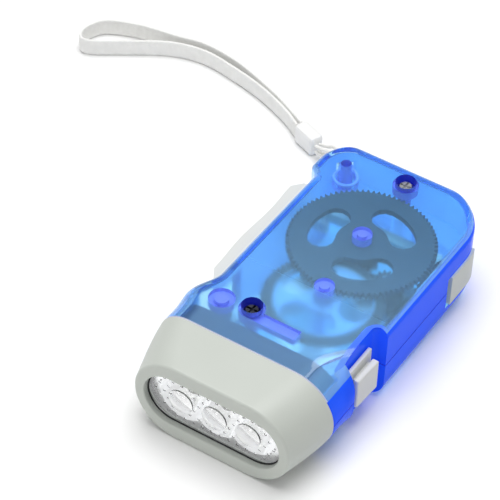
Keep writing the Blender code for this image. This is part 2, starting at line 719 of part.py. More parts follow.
def arc(centre, radius, start, end, steps):
    angles = [start + (end - start) * step / steps for step in range(steps + 1)]
    return [(centre.x + radius * math.cos(angle), centre.y + radius * math.sin(angle)) for angle in angles]


def kidney(centre, inner, outer, middle, span):
    """A curved window with rounded ends."""
    half = (outer - inner) / 2
    mean = (outer + inner) / 2
    steps = 6
    start = middle - span / 2
    end = middle + span / 2
    start_end = Vector((mean * math.cos(start), mean * math.sin(start), 0)) + centre
    far_end = Vector((mean * math.cos(end), mean * math.sin(end), 0)) + centre
    outline = arc(centre, outer, start, end, steps)
    outline += arc(far_end, half, end, end + math.pi, steps)[1:-1]
    outline += arc(centre, inner, end, start, steps)
    outline += arc(start_end, half, start + math.pi, start + 2 * math.pi, steps)[1:-1]
    return outline


def tube(name, points, radius, finish, sides=2):
    """A round tube through the points, with filled ends."""
    curve = bpy.data.curves.new(name, "CURVE")
    curve.dimensions = "3D"
    curve.bevel_depth = radius
    curve.bevel_resolution = sides
    curve.use_fill_caps = True
    curve.twist_mode = "MINIMUM"
    spline = curve.splines.new("POLY")
    spline.points.add(len(points) - 1)
    for point, place in zip(spline.points, points):
        point.co = (*place, 1)
    curve.materials.append(finish_of(finish))
    obj = bpy.data.objects.new(name, curve)
    bpy.context.scene.collection.objects.link(obj)
    return obj


def smooth_route(places, spacing):
    """Points at an even spacing on a smooth curve through the places."""
    places = [Vector(place) for place in places]
    ends = [2 * places[0] - places[1]] + places + [2 * places[-1] - places[-2]]
    dense = []
    steps = 24
    for index in range(1, len(ends) - 2):
        before, start, end, after = ends[index - 1 : index + 3]
        for step in range(steps):
            share = step / steps
            dense.append(
                (
                    2 * start
                    + (end - before) * share
                    + (2 * before - 5 * start + 4 * end - after) * share**2
                    + (3 * start - before - 3 * end + after) * share**3
                )
                / 2
            )
    dense.append(places[-1])
    length = sum((end - start).length for start, end in zip(dense[:-1], dense[1:]))
    count = max(round(length / spacing), 2)
    points = [dense[0]]
    walked = 0
    for start, end in zip(dense[:-1], dense[1:]):
        step = (end - start).length
        while len(points) < count and walked + step >= length * len(points) / count:
            share = (length * len(points) / count - walked) / step
            points.append(start.lerp(end, share))
        walked += step
    points.append(dense[-1])
    return points


def make_shells():
    upper = housing_loft("upper_shell", 0, "blue_shell")
    lower = housing_loft("lower_shell", 0, "blue_shell")
    hollow = housing_loft("housing_hollow", WALL)
    far = BODY_WIDTH + SHELL_LENGTH
    below = box("below_parting", (-far, -far, -far), (far, far, PARTING_Z + GAP / 2))
    above = box("above_parting", (-far, -far, PARTING_Z - GAP / 2), (far, far, far))
    carve(upper, hollow, below)
    carve(lower, hollow, above)
    fuse_upper_bosses(upper)
    fuse_lower_bosses(lower)
    door = box(
        "lever_door",
        (-far, PIVOT_Y + LEVER_DOOR_START, LEVER_BOTTOM_Z - GAP),
        (RECESS_X + WALL + OVERRUN, PIVOT_Y + LEVER_DOOR_END, LEVER_TOP_Z + GAP),
    )
    catch_low_y = catch_y() - 2 * GAP
    catch_door = box(
        "catch_door",
        (-far, catch_low_y, CATCH_BOTTOM_Z - GAP),
        (RECESS_X + WALL + OVERRUN, catch_y() + CATCH_WIDTH + CATCH_TIP + GAP, CATCH_TOP_Z + GAP),
    )
    stem_y = switch_front_y() + SWITCH_STEM_FROM_FRONT
    switch_slot = box(
        "switch_slot",
        (POCKET_X - WALL - OVERRUN, stem_y - GAP, PARTING_Z - SWITCH_STEM_HEIGHT / 2 - GAP),
        (
            POCKET_X + OVERRUN,
            stem_y + SWITCH_STEM + SWITCH_TRAVEL + GAP,
            PARTING_Z + SWITCH_STEM_HEIGHT / 2 + GAP,
        ),
    )
    button_y = lock_button_y()
    lock_window = box(
        "lock_window",
        (
            HALF_WIDTH - LOCK_BUTTON_THICKNESS - WALL,
            button_y - LOCK_TRAVEL - GAP,
            LOCK_BUTTON_BOTTOM_Z - GAP,
        ),
        (far, lock_arc_end_y() + GAP, LOCK_BUTTON_TOP_Z + GAP),
    )
    strap_slot = box(
        "strap_slot",
        (TAIL_LEFT_X - OVERRUN, TAIL_Y - STRAP_SLOT_DEPTH, STRAP_SLOT_BOTTOM_Z),
        (TAIL_LEFT_X + STRAP_SLOT_WIDTH, TAIL_Y + OVERRUN, STRAP_SLOT_TOP_Z),
    )
    carve(upper, door, switch_slot, lock_window, strap_slot)
    carve(lower, door, catch_door, switch_slot, lock_window)


def roof_boss(name, centre, radius, low):
    return cylinder(name, centre, radius, low, ROOF_Z + SINK, steps=SMALL_STEPS)


def floor_boss(name, centre, radius, high):
    return cylinder(name, centre, radius, FLOOR_Z - SINK, high, steps=SMALL_STEPS)


def pin_hole(name, centre, radius, low, high):
    return cylinder(name, centre, radius + GAP, low, high, steps=SMALL_STEPS)


def fuse_upper_bosses(upper):
    pin_top = ROOF_Z - GAP / 2
    pad_low = DRIVE_TOP_Z + GAP
    post_low = PARTING_Z + GAP / 2
    fuse(
        upper,
        roof_boss("pivot_boss", PIVOT_AXIS, PIVOT_BOSS_RADIUS, LEVER_TOP_Z + GAP),
        roof_boss("drive_boss", DRIVE_AXIS, AXLE_BOSS_RADIUS, DRIVE_TOP_Z + GAP),
        roof_boss("idler_boss", IDLER_AXIS, AXLE_BOSS_RADIUS, DRIVE_TOP_Z + 2 * GAP),
        roof_boss("front_pad", FRONT_SCREW, SCREW_PAD_RADIUS, pad_low),
        roof_boss("front_neck", FRONT_SCREW, SCREW_NECK_RADIUS, post_low),
        roof_boss("tail_pad", TAIL_SCREW, SCREW_PAD_RADIUS, pad_low),
        roof_boss("tail_neck", TAIL_SCREW, SCREW_NECK_RADIUS, post_low),
        roof_boss("strap_post", STRAP_POST, STRAP_POST_RADIUS, FLOOR_Z + GAP),
        box(
            "roof_rib",
            (FRONT_SCREW.x, FRONT_SCREW.y - ROOF_RIB, ROOF_Z - ROOF_RIB_HEIGHT),
            (FRONT_SCREW.x + ROOF_RIB_LENGTH, FRONT_SCREW.y, ROOF_Z + SINK),
        ),
    )
    carve(
        upper,
        pin_hole("pivot_top_hole", PIVOT_AXIS, PIVOT_PIN_RADIUS, LEVER_TOP_Z, pin_top),
        pin_hole("drive_top_hole", DRIVE_AXIS, AXLE_RADIUS, DRIVE_TOP_Z, pin_top),
        pin_hole("idler_top_hole", IDLER_AXIS, AXLE_RADIUS, DRIVE_TOP_Z, pin_top),
        screw_well("front_well", FRONT_SCREW),
        screw_well("tail_well", TAIL_SCREW),
    )


def screw_well(name, place):
    """The stepped hole that takes a screw's head and shank."""
    low = PARTING_Z - GAP
    head_z = BODY_THICKNESS - SCREW_HEAD_DEPTH
    top = BODY_THICKNESS + OVERRUN
    shank = SCREW_RADIUS + GAP
    profile = (
        (0, low),
        (shank, low),
        (shank, head_z),
        (SCREW_HOLE_RADIUS, head_z),
        (SCREW_HOLE_RADIUS, top),
        (0, top),
    )
    return turned(name, profile, place, steps=16)


def fuse_lower_bosses(lower):
    screw_top = PARTING_Z - GAP / 2
    fuse(
        lower,
        floor_boss("pivot_foot", PIVOT_AXIS, PIVOT_BOSS_RADIUS, LEVER_BOTTOM_Z - GAP),
        floor_boss("drive_foot", DRIVE_AXIS, AXLE_BOSS_RADIUS, DRIVE_FOOT_Z),
        floor_boss("idler_foot", IDLER_AXIS, AXLE_BOSS_RADIUS, idler_hub_z() - GAP),
        floor_boss("rotor_foot", ROTOR_AXIS, ROTOR_PIN_RADIUS + GAP + BOSS_WALL, rotor_hub_z() - GAP),
        floor_boss("front_foot", FRONT_SCREW, SCREW_LOWER_RADIUS, screw_top),
        floor_boss("tail_foot", TAIL_SCREW, SCREW_LOWER_RADIUS, screw_top),
    )
    for number in range(STATOR_PADS):
        angle = 2 * math.pi * number / STATOR_PADS
        reach = STATOR_RADIUS - STATOR_PAD_RADIUS
        place = ROTOR_AXIS + Vector((math.cos(angle), math.sin(angle), 0)) * reach
        fuse(lower, floor_boss(f"stator_pad_{number}", place, STATOR_PAD_RADIUS, stator_z() - GAP))
    bar_y = lock_bar_y()
    left = RECESS_X + WALL
    for number, share in enumerate(GUIDE_PLACES_SHARES):
        x = left + (HALF_WIDTH - WALL - left) * share
        rib = box(
            f"guide_rib_{number}",
            (x, bar_y - LOCK_TRAVEL, FLOOR_Z - SINK),
            (x + GUIDE_RIB, bar_y + LOCK_BAR_DEPTH, CATCH_BOTTOM_Z - GAP),
        )
        fuse(lower, rib)
    low = FLOOR_Z - PIN_INSET
    bite = PARTING_Z - SCREW_BITE - GAP
    carve(
        lower,
        pin_hole("pivot_foot_hole", PIVOT_AXIS, PIVOT_PIN_RADIUS, low - GAP, LEVER_BOTTOM_Z),
        pin_hole("drive_foot_hole", DRIVE_AXIS, AXLE_RADIUS, low - GAP, DRIVE_FOOT_Z + OVERRUN),
        pin_hole("idler_foot_hole", IDLER_AXIS, AXLE_RADIUS, low - GAP, idler_hub_z() + OVERRUN),
        pin_hole("rotor_foot_hole", ROTOR_AXIS, ROTOR_PIN_RADIUS, low - GAP, rotor_hub_z() + OVERRUN),
        pin_hole("front_foot_hole", FRONT_SCREW, SCREW_RADIUS, bite, PARTING_Z + OVERRUN),
        pin_hole("tail_foot_hole", TAIL_SCREW, SCREW_RADIUS, bite, PARTING_Z + OVERRUN),
    )


def idler_hub_z():
    return (RACK_TOP_Z + RACK_BOTTOM_Z) / 2


def stator_z():
    return FLOOR_Z + STATOR_PAD_HEIGHT + GAP


def rotor_hub_z():
    return FLOOR_Z + 3 * GAP


def catch_y():
    return RECESS_END_Y - CATCH_FROM_RECESS_END


def lock_bar_y():
    return catch_y() + CATCH_WIDTH + CATCH_TIP + GAP + LOCK_TOOTH_LENGTH


def lock_button_y():
    return TAIL_Y - TAIL_RIGHT_RADIUS - LOCK_BUTTON_LENGTH


def lock_arc_end_y():
    return TAIL_Y - TAIL_RIGHT_RADIUS + (TAIL_RIGHT_RADIUS + LOCK_BUTTON_PROUD) * math.sin(LOCK_BUTTON_ARC)


def switch_front_y():
    return POCKET_FRONT_Y + POCKET_RAMP + GAP


def stadium(half_width, half_height, y):
    radii = [half_height] * 4
    return corner_ring(-half_width, half_width, MID_Z - half_height, MID_Z + half_height, radii, y)


def make_nose():
    seam_radius = BODY_THICKNESS / 2
    cavity_width = WINDOW_HALF_WIDTH + LENS_LIP + GAP
    cavity_height = WINDOW_HALF_HEIGHT + LENS_LIP + GAP
    skirt_inset = WALL + GAP
    rings = [stadium(WINDOW_HALF_WIDTH, WINDOW_HALF_HEIGHT, NOSE_FRONT_Y)]
    edge_steps = 4
    for step in range(edge_steps + 1):
        angle = math.pi / 2 * step / edge_steps
        drop = NOSE_EDGE_RADIUS * (1 - math.sin(angle))
        back = NOSE_EDGE_RADIUS * (1 - math.cos(angle))
        rings.append(stadium(FACE_HALF_WIDTH - drop, seam_radius - drop, NOSE_FRONT_Y + back))
    flank_steps = 4
    start = NOSE_FRONT_Y + NOSE_EDGE_RADIUS
    end = SEAM_Y - GAP
    for step in range(1, flank_steps + 1):
        share = step / flank_steps
        swell = math.sin(math.pi / 2 * share)
        half_width = FACE_HALF_WIDTH + (HALF_WIDTH - FACE_HALF_WIDTH) * (share + swell) / 2
        rings.append(stadium(half_width, seam_radius, start + (end - start) * share))
    rings.append(stadium(HALF_WIDTH - skirt_inset, seam_radius - skirt_inset, end))
    rings.append(stadium(HALF_WIDTH - skirt_inset, seam_radius - skirt_inset, SEAM_Y + SKIRT_LENGTH))
    rings.append(stadium(cavity_width, cavity_height, SEAM_Y + SKIRT_LENGTH))
    rings.append(stadium(cavity_width, cavity_height, NOSE_FRONT_Y + LENS_SEAT_DEPTH))
    rings.append(stadium(WINDOW_HALF_WIDTH, WINDOW_HALF_HEIGHT, NOSE_FRONT_Y + LENS_SEAT_DEPTH))
    lofted("nose_bezel", rings, "grey_plastic", closed=True)


def facing_nose():
    """Turns an upright shape so that its top points along the beam."""
    return Matrix.Rotation(math.pi / 2, 3, "X")


def beam_places():
    return [Vector((x, 0, MID_Z)) for x in (-LED_SPACING, 0, LED_SPACING)]


def lens_y():
    return NOSE_FRONT_Y + LENS_SEAT_DEPTH + GAP


def reflector_y():
    return lens_y() + LENS_THICKNESS + GAP


def led_base_y():
    return SEAM_Y - LED_FLANGE - GAP


def make_lens():
    half_width = WINDOW_HALF_WIDTH + LENS_LIP
    half_height = WINDOW_HALF_HEIGHT + LENS_LIP
    front = lens_y()
    back = front + LENS_THICKNESS
    rings = [stadium(half_width, half_height, front), stadium(half_width, half_height, back)]
    lens = lofted("lens", rings, "clear_plastic")
    ball = (LENS_DOME_RADIUS**2 + LENS_DOME_HEIGHT**2) / (2 * LENS_DOME_HEIGHT)
    edge = math.asin(LENS_DOME_RADIUS / ball)
    steps = 5
    for number, place in enumerate(beam_places()):
        profile = [(0, -SINK), (LENS_DOME_RADIUS, -SINK)]
        for step in range(steps):
            angle = edge * (1 - step / steps)
            profile.append((ball * math.sin(angle), ball * math.cos(angle) - ball + LENS_DOME_HEIGHT))
        profile.append((0, LENS_DOME_HEIGHT))
        centre = place + Vector((0, front, 0))
        fuse(lens, turned(f"lens_dome_{number}", profile, centre, turn=facing_nose(), steps=16))


def make_reflector():
    half_width = WINDOW_HALF_WIDTH + LENS_LIP
    half_height = WINDOW_HALF_HEIGHT + LENS_LIP
    front = reflector_y()
    back = front + REFLECTOR_DEPTH
    rings = [stadium(half_width, half_height, front), stadium(half_width, half_height, back)]
    reflector = lofted("reflector", rings, "chrome")
    steps = 6
    for number, place in enumerate(beam_places()):
        depth = REFLECTOR_DEPTH
        profile = [(0, -depth - OVERRUN), (CUP_BACK_RADIUS, -depth - OVERRUN)]
        for step in range(steps + 1):
            share = step / steps
            swell = (CUP_RADIUS - CUP_BACK_RADIUS) * share**CUP_FOCUS_POWER
            profile.append((CUP_BACK_RADIUS + swell, -depth + depth * share))
        profile += [(CUP_RADIUS, OVERRUN), (0, OVERRUN)]
        centre = place + Vector((0, front, 0))
        carve(reflector, turned(f"cup_{number}", profile, centre, turn=facing_nose(), steps=18))


def make_leds():
    base = led_base_y()
    for name, place in zip(LED_NAMES, beam_places()):
        profile = [(0, 0), (LED_FLANGE_RADIUS, 0), (LED_FLANGE_RADIUS, LED_FLANGE), (LED_RADIUS, LED_FLANGE)]
        straight = LED_LENGTH - LED_RADIUS
        steps = 5
        for step in range(steps):
            angle = math.pi / 2 * step / steps
            profile.append((LED_RADIUS * math.cos(angle), straight + LED_RADIUS * math.sin(angle)))
        profile.append((0, LED_LENGTH))
        centre = place + Vector((0, base, 0))
        turned(name, profile, centre, "white_led", turn=facing_nose(), steps=14)
    half_width = WINDOW_HALF_WIDTH + LENS_LIP
    half_height = WINDOW_HALF_HEIGHT + LENS_LIP
    front = base + GAP
    rings = [stadium(half_width, half_height, front), stadium(half_width, half_height, front + LED_BOARD)]
    lofted("led_board", rings, "board")


def make_lever():
    wall_x = RECESS_X - GAP
    outer_x = wall_x - LEVER_PROUD
    heel_y = PIVOT_Y + LEVER_HEEL
    tip_y = RECESS_END_Y - 2 * GAP
    run = tip_y - heel_y
    steps = 14
    outer = []
    for step in range(steps + 1):
        y = heel_y + run * step / steps
        wave = LEVER_WAVE * math.cos(2 * math.pi * LEVER_WAVES * step / steps)
        taper = max(y - (tip_y - LEVER_TIP_TAPER), 0) ** 2 / LEVER_TIP_TAPER
        outer.append((outer_x + wave + taper * LEVER_TIP_SHARE, y))
    side = Vector((outer_x, heel_y, 0)) - PIVOT_AXIS
    across = Vector((-side.y, side.x, 0)).normalized() * ARM_HALF_WIDTH
    inner_y = heel_y + ARM_HALF_WIDTH
    near = PIVOT_AXIS + across
    far = PIVOT_AXIS - across
    outline = [(near.x, near.y), *outer, (wall_x, tip_y), (wall_x, inner_y), (far.x, far.y)]
    lever = prism("squeeze_lever", outline, LEVER_BOTTOM_Z, LEVER_TOP_Z, "grey_plastic")
    hub = cylinder("lever_hub", PIVOT_AXIS, HUB_RADIUS, LEVER_BOTTOM_Z, spring_low_z() - GAP)
    spring_bay = cylinder(
        "spring_bay",
        PIVOT_AXIS,
        LEVER_SPRING_RADIUS + 2 * LEVER_WIRE_RADIUS + GAP,
        spring_low_z() - GAP,
        LEVER_TOP_Z + OVERRUN,
    )
    carve(lever, spring_bay)
    fuse(lever, hub, rack_rim(), rack_spoke(), catch_tongue())
    carve(
        lever,
        cylinder("lever_bore", PIVOT_AXIS, PIVOT_PIN_RADIUS + GAP, 0, BODY_THICKNESS, steps=SMALL_STEPS),
    )
    move_origin(lever, PIVOT_AXIS)


def rack_rim():
    first = -math.ceil(LEVER_TRAVEL / (2 * math.pi / RACK_TEETH)) - 1
    last = 2
    teeth = gear_outline(RACK_TEETH, COARSE_MODULE, COARSE_BACKLASH, RACK_TURN, first, last)
    root = RACK_RADIUS - DEDENDUM_SHARE * COARSE_MODULE
    step = 2 * math.pi / RACK_TEETH
    start = RACK_TURN + (first - 0.5) * step
    end = RACK_TURN + (last - 0.5) * step
    inner = arc(Vector((0, 0, 0)), RACK_RADIUS - RIM_DEPTH, end, start, 12)
    low_corner = arc(Vector((0, 0, 0)), root, start, start, 1)[:1]
    high_corner = arc(Vector((0, 0, 0)), root, end, end, 1)[:1]
    outline = shifted(low_corner + teeth + high_corner + inner, PIVOT_AXIS)
    return prism("rack_rim", outline, RACK_BOTTOM_Z, RACK_TOP_Z)


def rack_spoke():
    outer = RACK_RADIUS - RIM_DEPTH + OVERRUN
    inner = HUB_RADIUS - OVERRUN
    start = RACK_TURN - SPOKE_END
    end = RACK_TURN + SPOKE_START
    origin = Vector((0, 0, 0))
    outline = arc(origin, outer, start, end, 4)
    outline += arc(origin, inner, end + SPOKE_SPREAD, start - SPOKE_SPREAD, 6)
    return prism("rack_spoke", shifted(outline, PIVOT_AXIS), RACK_BOTTOM_Z, RACK_TOP_Z)


def catch_tongue():
    """The tongue that carries the catch pin into the housing, with the pin's hole."""
    y = catch_y()
    tongue = box(
        "catch_tongue",
        (RECESS_X - GAP - OVERRUN, y, CATCH_BOTTOM_Z),
        (CATCH_TIP_X, y + CATCH_WIDTH, CATCH_TOP_Z),
    )
    end = y + CATCH_WIDTH + OVERRUN
    carve(tongue, catch_rod("catch_hole", CATCH_PIN_RADIUS + GAP / 2, y - OVERRUN, end))
    return tongue


def catch_rod(name, radius, low_y, high_y, finish=None):
    """An upright cylinder laid along the housing at the catch."""
    middle = Vector((CATCH_PIN_X, 0, (CATCH_BOTTOM_Z + CATCH_TOP_Z) / 2))
    profile = ((0, -high_y), (radius, -high_y), (radius, -low_y), (0, -low_y))
    return turned(name, profile, middle, finish, turn=facing_nose(), steps=12)


def make_catch_pin():
    low = catch_y() + GAP / 2
    catch_rod("catch_pin", CATCH_PIN_RADIUS, low, catch_y() + CATCH_WIDTH + CATCH_TIP, "steel")


def spring_low_z():
    return RACK_TOP_Z + GAP


def coil_points(centre, radius, low, high):
    turns = (high - low) / SPRING_PITCH
    count = round(turns * SPRING_TURN_POINTS)
    points = []
    for index in range(count + 1):
        angle = 2 * math.pi * turns * index / count
        points.append(
            Vector(
                (
                    centre.x + radius * math.cos(angle),
                    centre.y + radius * math.sin(angle),
                    low + (high - low) * index / count,
                )
            )
        )
    return points


def make_springs():
    low = spring_low_z() + LEVER_WIRE_RADIUS
    high = LEVER_TOP_Z - LEVER_WIRE_RADIUS
    coil = coil_points(PIVOT_AXIS, LEVER_SPRING_RADIUS, low, high)
    tube("lever_spring", coil, LEVER_WIRE_RADIUS, "spring_steel", sides=1)
    low = DRIVE_FOOT_Z + GAP + RATCHET_WIRE_RADIUS
    high = RACK_BOTTOM_Z - GAP - RATCHET_WIRE_RADIUS
    coil = coil_points(DRIVE_AXIS, RATCHET_SPRING_RADIUS, low, high)
    tube("ratchet_spring", coil, RATCHET_WIRE_RADIUS, "spring_steel", sides=1)


def make_pins():
    low = FLOOR_Z - PIN_INSET
    high = ROOF_Z - 2 * GAP
    cylinder("lever_pivot_pin", PIVOT_AXIS, PIVOT_PIN_RADIUS, low, high, "steel", 20)
    cylinder("drive_axle", DRIVE_AXIS, AXLE_RADIUS, low, high, "steel", 16)
    cylinder("idler_axle", IDLER_AXIS, AXLE_RADIUS, low, high, "steel", 16)
    cylinder("rotor_pin", ROTOR_AXIS, ROTOR_PIN_RADIUS, low, IDLER_TOP_Z, "steel", 12)


def saw_ring(name, centre, base, lift, turn):
    """A ring with a flat base at one level and saw teeth on its face, which starts at the lift."""
    stations = []
    for tooth in range(RATCHET_TEETH):
        for share, height in ((0, 0), (1 - RATCHET_FOOT_SHARE, RATCHET_RISE)):
            angle = turn + 2 * math.pi * (tooth + share) / RATCHET_TEETH
            stations.append((angle, height))
    rings = []
    for angle, height in stations:
        x = math.cos(angle)
        y = math.sin(angle)
        face = lift + height
        ring = [
            (centre.x + radius * x, centre.y + radius * y, level)
            for radius, level in (
                (RATCHET_INNER, base),
                (RATCHET_OUTER, base),
                (RATCHET_OUTER, face),
                (RATCHET_INNER, face),
            )
        ]
        rings.append(ring)
    return lofted(name, rings, closed=True)


def make_drive_train():
    bore = AXLE_RADIUS + GAP
    pinion_outline = gear_outline(DRIVE_PINION_TEETH, COARSE_MODULE, COARSE_BACKLASH, DRIVE_PINION_TURN)
    pinion_top = RACK_TOP_Z + GAP
    pinion = prism(
        "drive_pinion", shifted(pinion_outline, DRIVE_AXIS), RACK_BOTTOM_Z, pinion_top, "dark_gear"
    )
    flange_top = pinion_top + RATCHET_BASE
    flange = cylinder("pinion_flange", DRIVE_AXIS, RATCHET_OUTER, pinion_top - GAP, flange_top)
    saw = saw_ring("pinion_saw", DRIVE_AXIS, flange_top - GAP, flange_top, 0)
    fuse(pinion, flange, saw)
    carve(pinion, sleeve_bore("pinion_bore", DRIVE_AXIS, bore, RACK_BOTTOM_Z, flange_top))
    move_origin(pinion, DRIVE_AXIS)
    gear_outline_points = gear_outline(DRIVE_TEETH, FINE_MODULE, FINE_BACKLASH, DRIVE_TURN)
    gear = prism(
        "drive_gear", shifted(gear_outline_points, DRIVE_AXIS), DRIVE_BOTTOM_Z, DRIVE_TOP_Z, "dark_gear"
    )
    hub = saw_ring("hub_saw", DRIVE_AXIS, DRIVE_BOTTOM_Z + GAP, flange_top + GAP, RATCHET_SLACK)
    fuse(gear, hub)
    windows = []
    for number in range(DRIVE_WINDOWS):
        middle = DRIVE_WINDOW_TURN + 2 * math.pi * number / DRIVE_WINDOWS
        inner = DRIVE_RADIUS * DRIVE_WINDOW_SHARES[0]
        outer = DRIVE_RADIUS * DRIVE_WINDOW_SHARES[1]
        outline = kidney(DRIVE_AXIS, inner, outer, middle, DRIVE_WINDOW_SPAN)
        windows.append(
            prism(f"drive_window_{number}", outline, DRIVE_BOTTOM_Z - OVERRUN, DRIVE_TOP_Z + OVERRUN)
        )
    carve(gear, *windows, sleeve_bore("drive_bore", DRIVE_AXIS, bore, flange_top, DRIVE_TOP_Z))
    move_origin(gear, DRIVE_AXIS)


def sleeve_bore(name, centre, radius, low, high):
    return cylinder(name, centre, radius, low - OVERRUN, high + OVERRUN, steps=SMALL_STEPS)


def make_idler():
    outline = gear_outline(IDLER_TEETH, FINE_MODULE, FINE_BACKLASH, IDLER_TURN)
    idler = prism("idler_gear", shifted(outline, IDLER_AXIS), IDLER_BOTTOM_Z, IDLER_TOP_Z, "dark_gear")
    outline = gear_outline(IDLER_PINION_TEETH, FINE_MODULE, FINE_BACKLASH, IDLER_PINION_TURN)
    pinion_top = DRIVE_TOP_Z + GAP / 2
    pinion = prism("idler_pinion", shifted(outline, IDLER_AXIS), IDLER_TOP_Z - GAP, pinion_top)
    hub_radius = IDLER_PINION_RADIUS
    hub = cylinder("idler_hub", IDLER_AXIS, hub_radius, idler_hub_z(), IDLER_BOTTOM_Z + GAP)
    windows = []
    for number in range(IDLER_WINDOWS):
        middle = IDLER_WINDOW_TURN + 2 * math.pi * number / IDLER_WINDOWS
        inner = IDLER_RADIUS * IDLER_WINDOW_SHARES[0]
        outer = IDLER_RADIUS * IDLER_WINDOW_SHARES[1]
        shape = kidney(IDLER_AXIS, inner, outer, middle, IDLER_WINDOW_SPAN)
        windows.append(
            prism(f"idler_window_{number}", shape, IDLER_BOTTOM_Z - OVERRUN, IDLER_TOP_Z + OVERRUN)
        )
    carve(idler, *windows)
    fuse(idler, pinion, hub)
    carve(idler, sleeve_bore("idler_bore", IDLER_AXIS, AXLE_RADIUS + GAP, idler_hub_z(), pinion_top))
    move_origin(idler, IDLER_AXIS)


def make_rotor():
    outline = gear_outline(ROTOR_PINION_TEETH, FINE_MODULE, FINE_BACKLASH, ROTOR_PINION_TURN)
    low = IDLER_BOTTOM_Z - GAP
    pinion = prism(
        "rotor_pinion", shifted(outline, ROTOR_AXIS), low, IDLER_TOP_Z + GAP / 2, "dark_gear"
    )
    fuse(pinion, cylinder("rotor_hub", ROTOR_AXIS, ROTOR_HUB_RADIUS, rotor_hub_z(), low + GAP))
    bore = ROTOR_PIN_RADIUS + GAP / 2
    carve(pinion, sleeve_bore("rotor_bore", ROTOR_AXIS, bore, rotor_hub_z(), IDLER_TOP_Z))
    move_origin(pinion, ROTOR_AXIS)
    inset = STATOR_SHEET + GAP
    magnet_low = stator_z() + inset
    magnet_high = STATOR_TOP_Z - inset
    magnet = sleeve(
        "rotor_magnet", ROTOR_AXIS, ROTOR_HUB_RADIUS + GAP, MAGNET_RADIUS, magnet_low, magnet_high, "magnet"
    )
    move_origin(magnet, ROTOR_AXIS)


def claw(name, middle, root_z, tip_z):
    """One tapering finger of a claw-pole cup, bent up along the rotor."""
    inner = CLAW_RADIUS
    outer = CLAW_RADIUS + CLAW_SHEET
    rings = []
    for level, span in ((root_z, CLAW_ROOT_SPAN), (tip_z, CLAW_TIP_SPAN)):
        start = middle - span / 2
        end = middle + span / 2
        outline = arc(ROTOR_AXIS, outer, start, end, 2) + arc(ROTOR_AXIS, inner, end, start, 2)
        rings.append([(x, y, level) for x, y in outline])
    return lofted(name, rings)


def stator_cup(name, rim_z, open_z, tip_z, turn):
    """A cup with an outer wall, an end ring and claws that rise from the ring's inner edge."""
    up = 1 if open_z > rim_z else -1
    sheet = up * STATOR_SHEET
    ring_in = CLAW_RADIUS + CLAW_SHEET / 2
    profile = [
        (ring_in, rim_z),
        (STATOR_RADIUS, rim_z),
        (STATOR_RADIUS, open_z),
        (STATOR_RADIUS - STATOR_SHEET, open_z),
        (STATOR_RADIUS - STATOR_SHEET, rim_z + sheet),
        (ring_in, rim_z + sheet),
    ]
    cup = turned(name, profile, ROTOR_AXIS, "steel")
    for number in range(CLAW_COUNT):
        middle = turn + 2 * math.pi * number / CLAW_COUNT
        finger = claw(f"{name}_claw_{number}", middle, rim_z + sheet / 2, tip_z)
        combine(cup, [finger], "UNION", "MANIFOLD")
    return cup


def make_generator():
    low = stator_z()
    middle = (low + STATOR_TOP_Z) / 2
    inset = STATOR_SHEET + GAP
    half = math.pi / CLAW_COUNT
    stator_cup("stator_lower", low, middle - GAP / 2, STATOR_TOP_Z - inset, 0)
    stator_cup("stator_upper", STATOR_TOP_Z, middle + GAP / 2, low + inset, half)
    bobbin_in = CLAW_RADIUS + CLAW_SHEET + GAP
    bobbin_low = low + inset
    bobbin_high = STATOR_TOP_Z - inset
    profile = [
        (bobbin_in, bobbin_low),
        (BOBBIN_RADIUS, bobbin_low),
        (BOBBIN_RADIUS, bobbin_low + BOBBIN_SHEET),
        (bobbin_in + BOBBIN_SHEET, bobbin_low + BOBBIN_SHEET),
        (bobbin_in + BOBBIN_SHEET, bobbin_high - BOBBIN_SHEET),
        (BOBBIN_RADIUS, bobbin_high - BOBBIN_SHEET),
        (BOBBIN_RADIUS, bobbin_high),
        (bobbin_in, bobbin_high),
    ]
    turned("coil_bobbin", profile, ROTOR_AXIS, "white_plastic")
    shy = BOBBIN_SHEET + GAP / 2
    sleeve(
        "coil_winding",
        ROTOR_AXIS,
        bobbin_in + shy,
        WINDING_RADIUS,
        bobbin_low + shy,
        bobbin_high - shy,
        "copper",
    )


def make_cells():
    centre = Vector((CELL_X, SEAM_Y + CELL_FROM_SEAM, 0))
    low = FLOOR_Z + GAP
    contact("cell_contact_bottom", centre, low)
    low += CONTACT_SHEET + GAP / 2
    for name in ("coin_cell_lower", "coin_cell_upper"):
        high = low + CELL_THICKNESS
        profile = [
            (0, low),
            (CELL_RADIUS - 2 * CELL_EDGE, low),
            (CELL_RADIUS - CELL_EDGE, low + CELL_EDGE),
            (CELL_RADIUS, low + 2 * CELL_EDGE),
            (CELL_RADIUS, high - CELL_EDGE / 2),
            (CELL_RADIUS - CELL_EDGE / 2, high),
            (0, high),
        ]
        turned(name, profile, centre, "steel")
        low = high + GAP / 2
    contact("cell_contact_top", centre, low)


def contact(name, centre, low):
    half = CONTACT_WIDTH / 2
    return box(
        name,
        (centre.x - half, centre.y - CONTACT_REACH, low),
        (centre.x + half, centre.y + CONTACT_REACH, low + CONTACT_SHEET),
        "steel",
    )


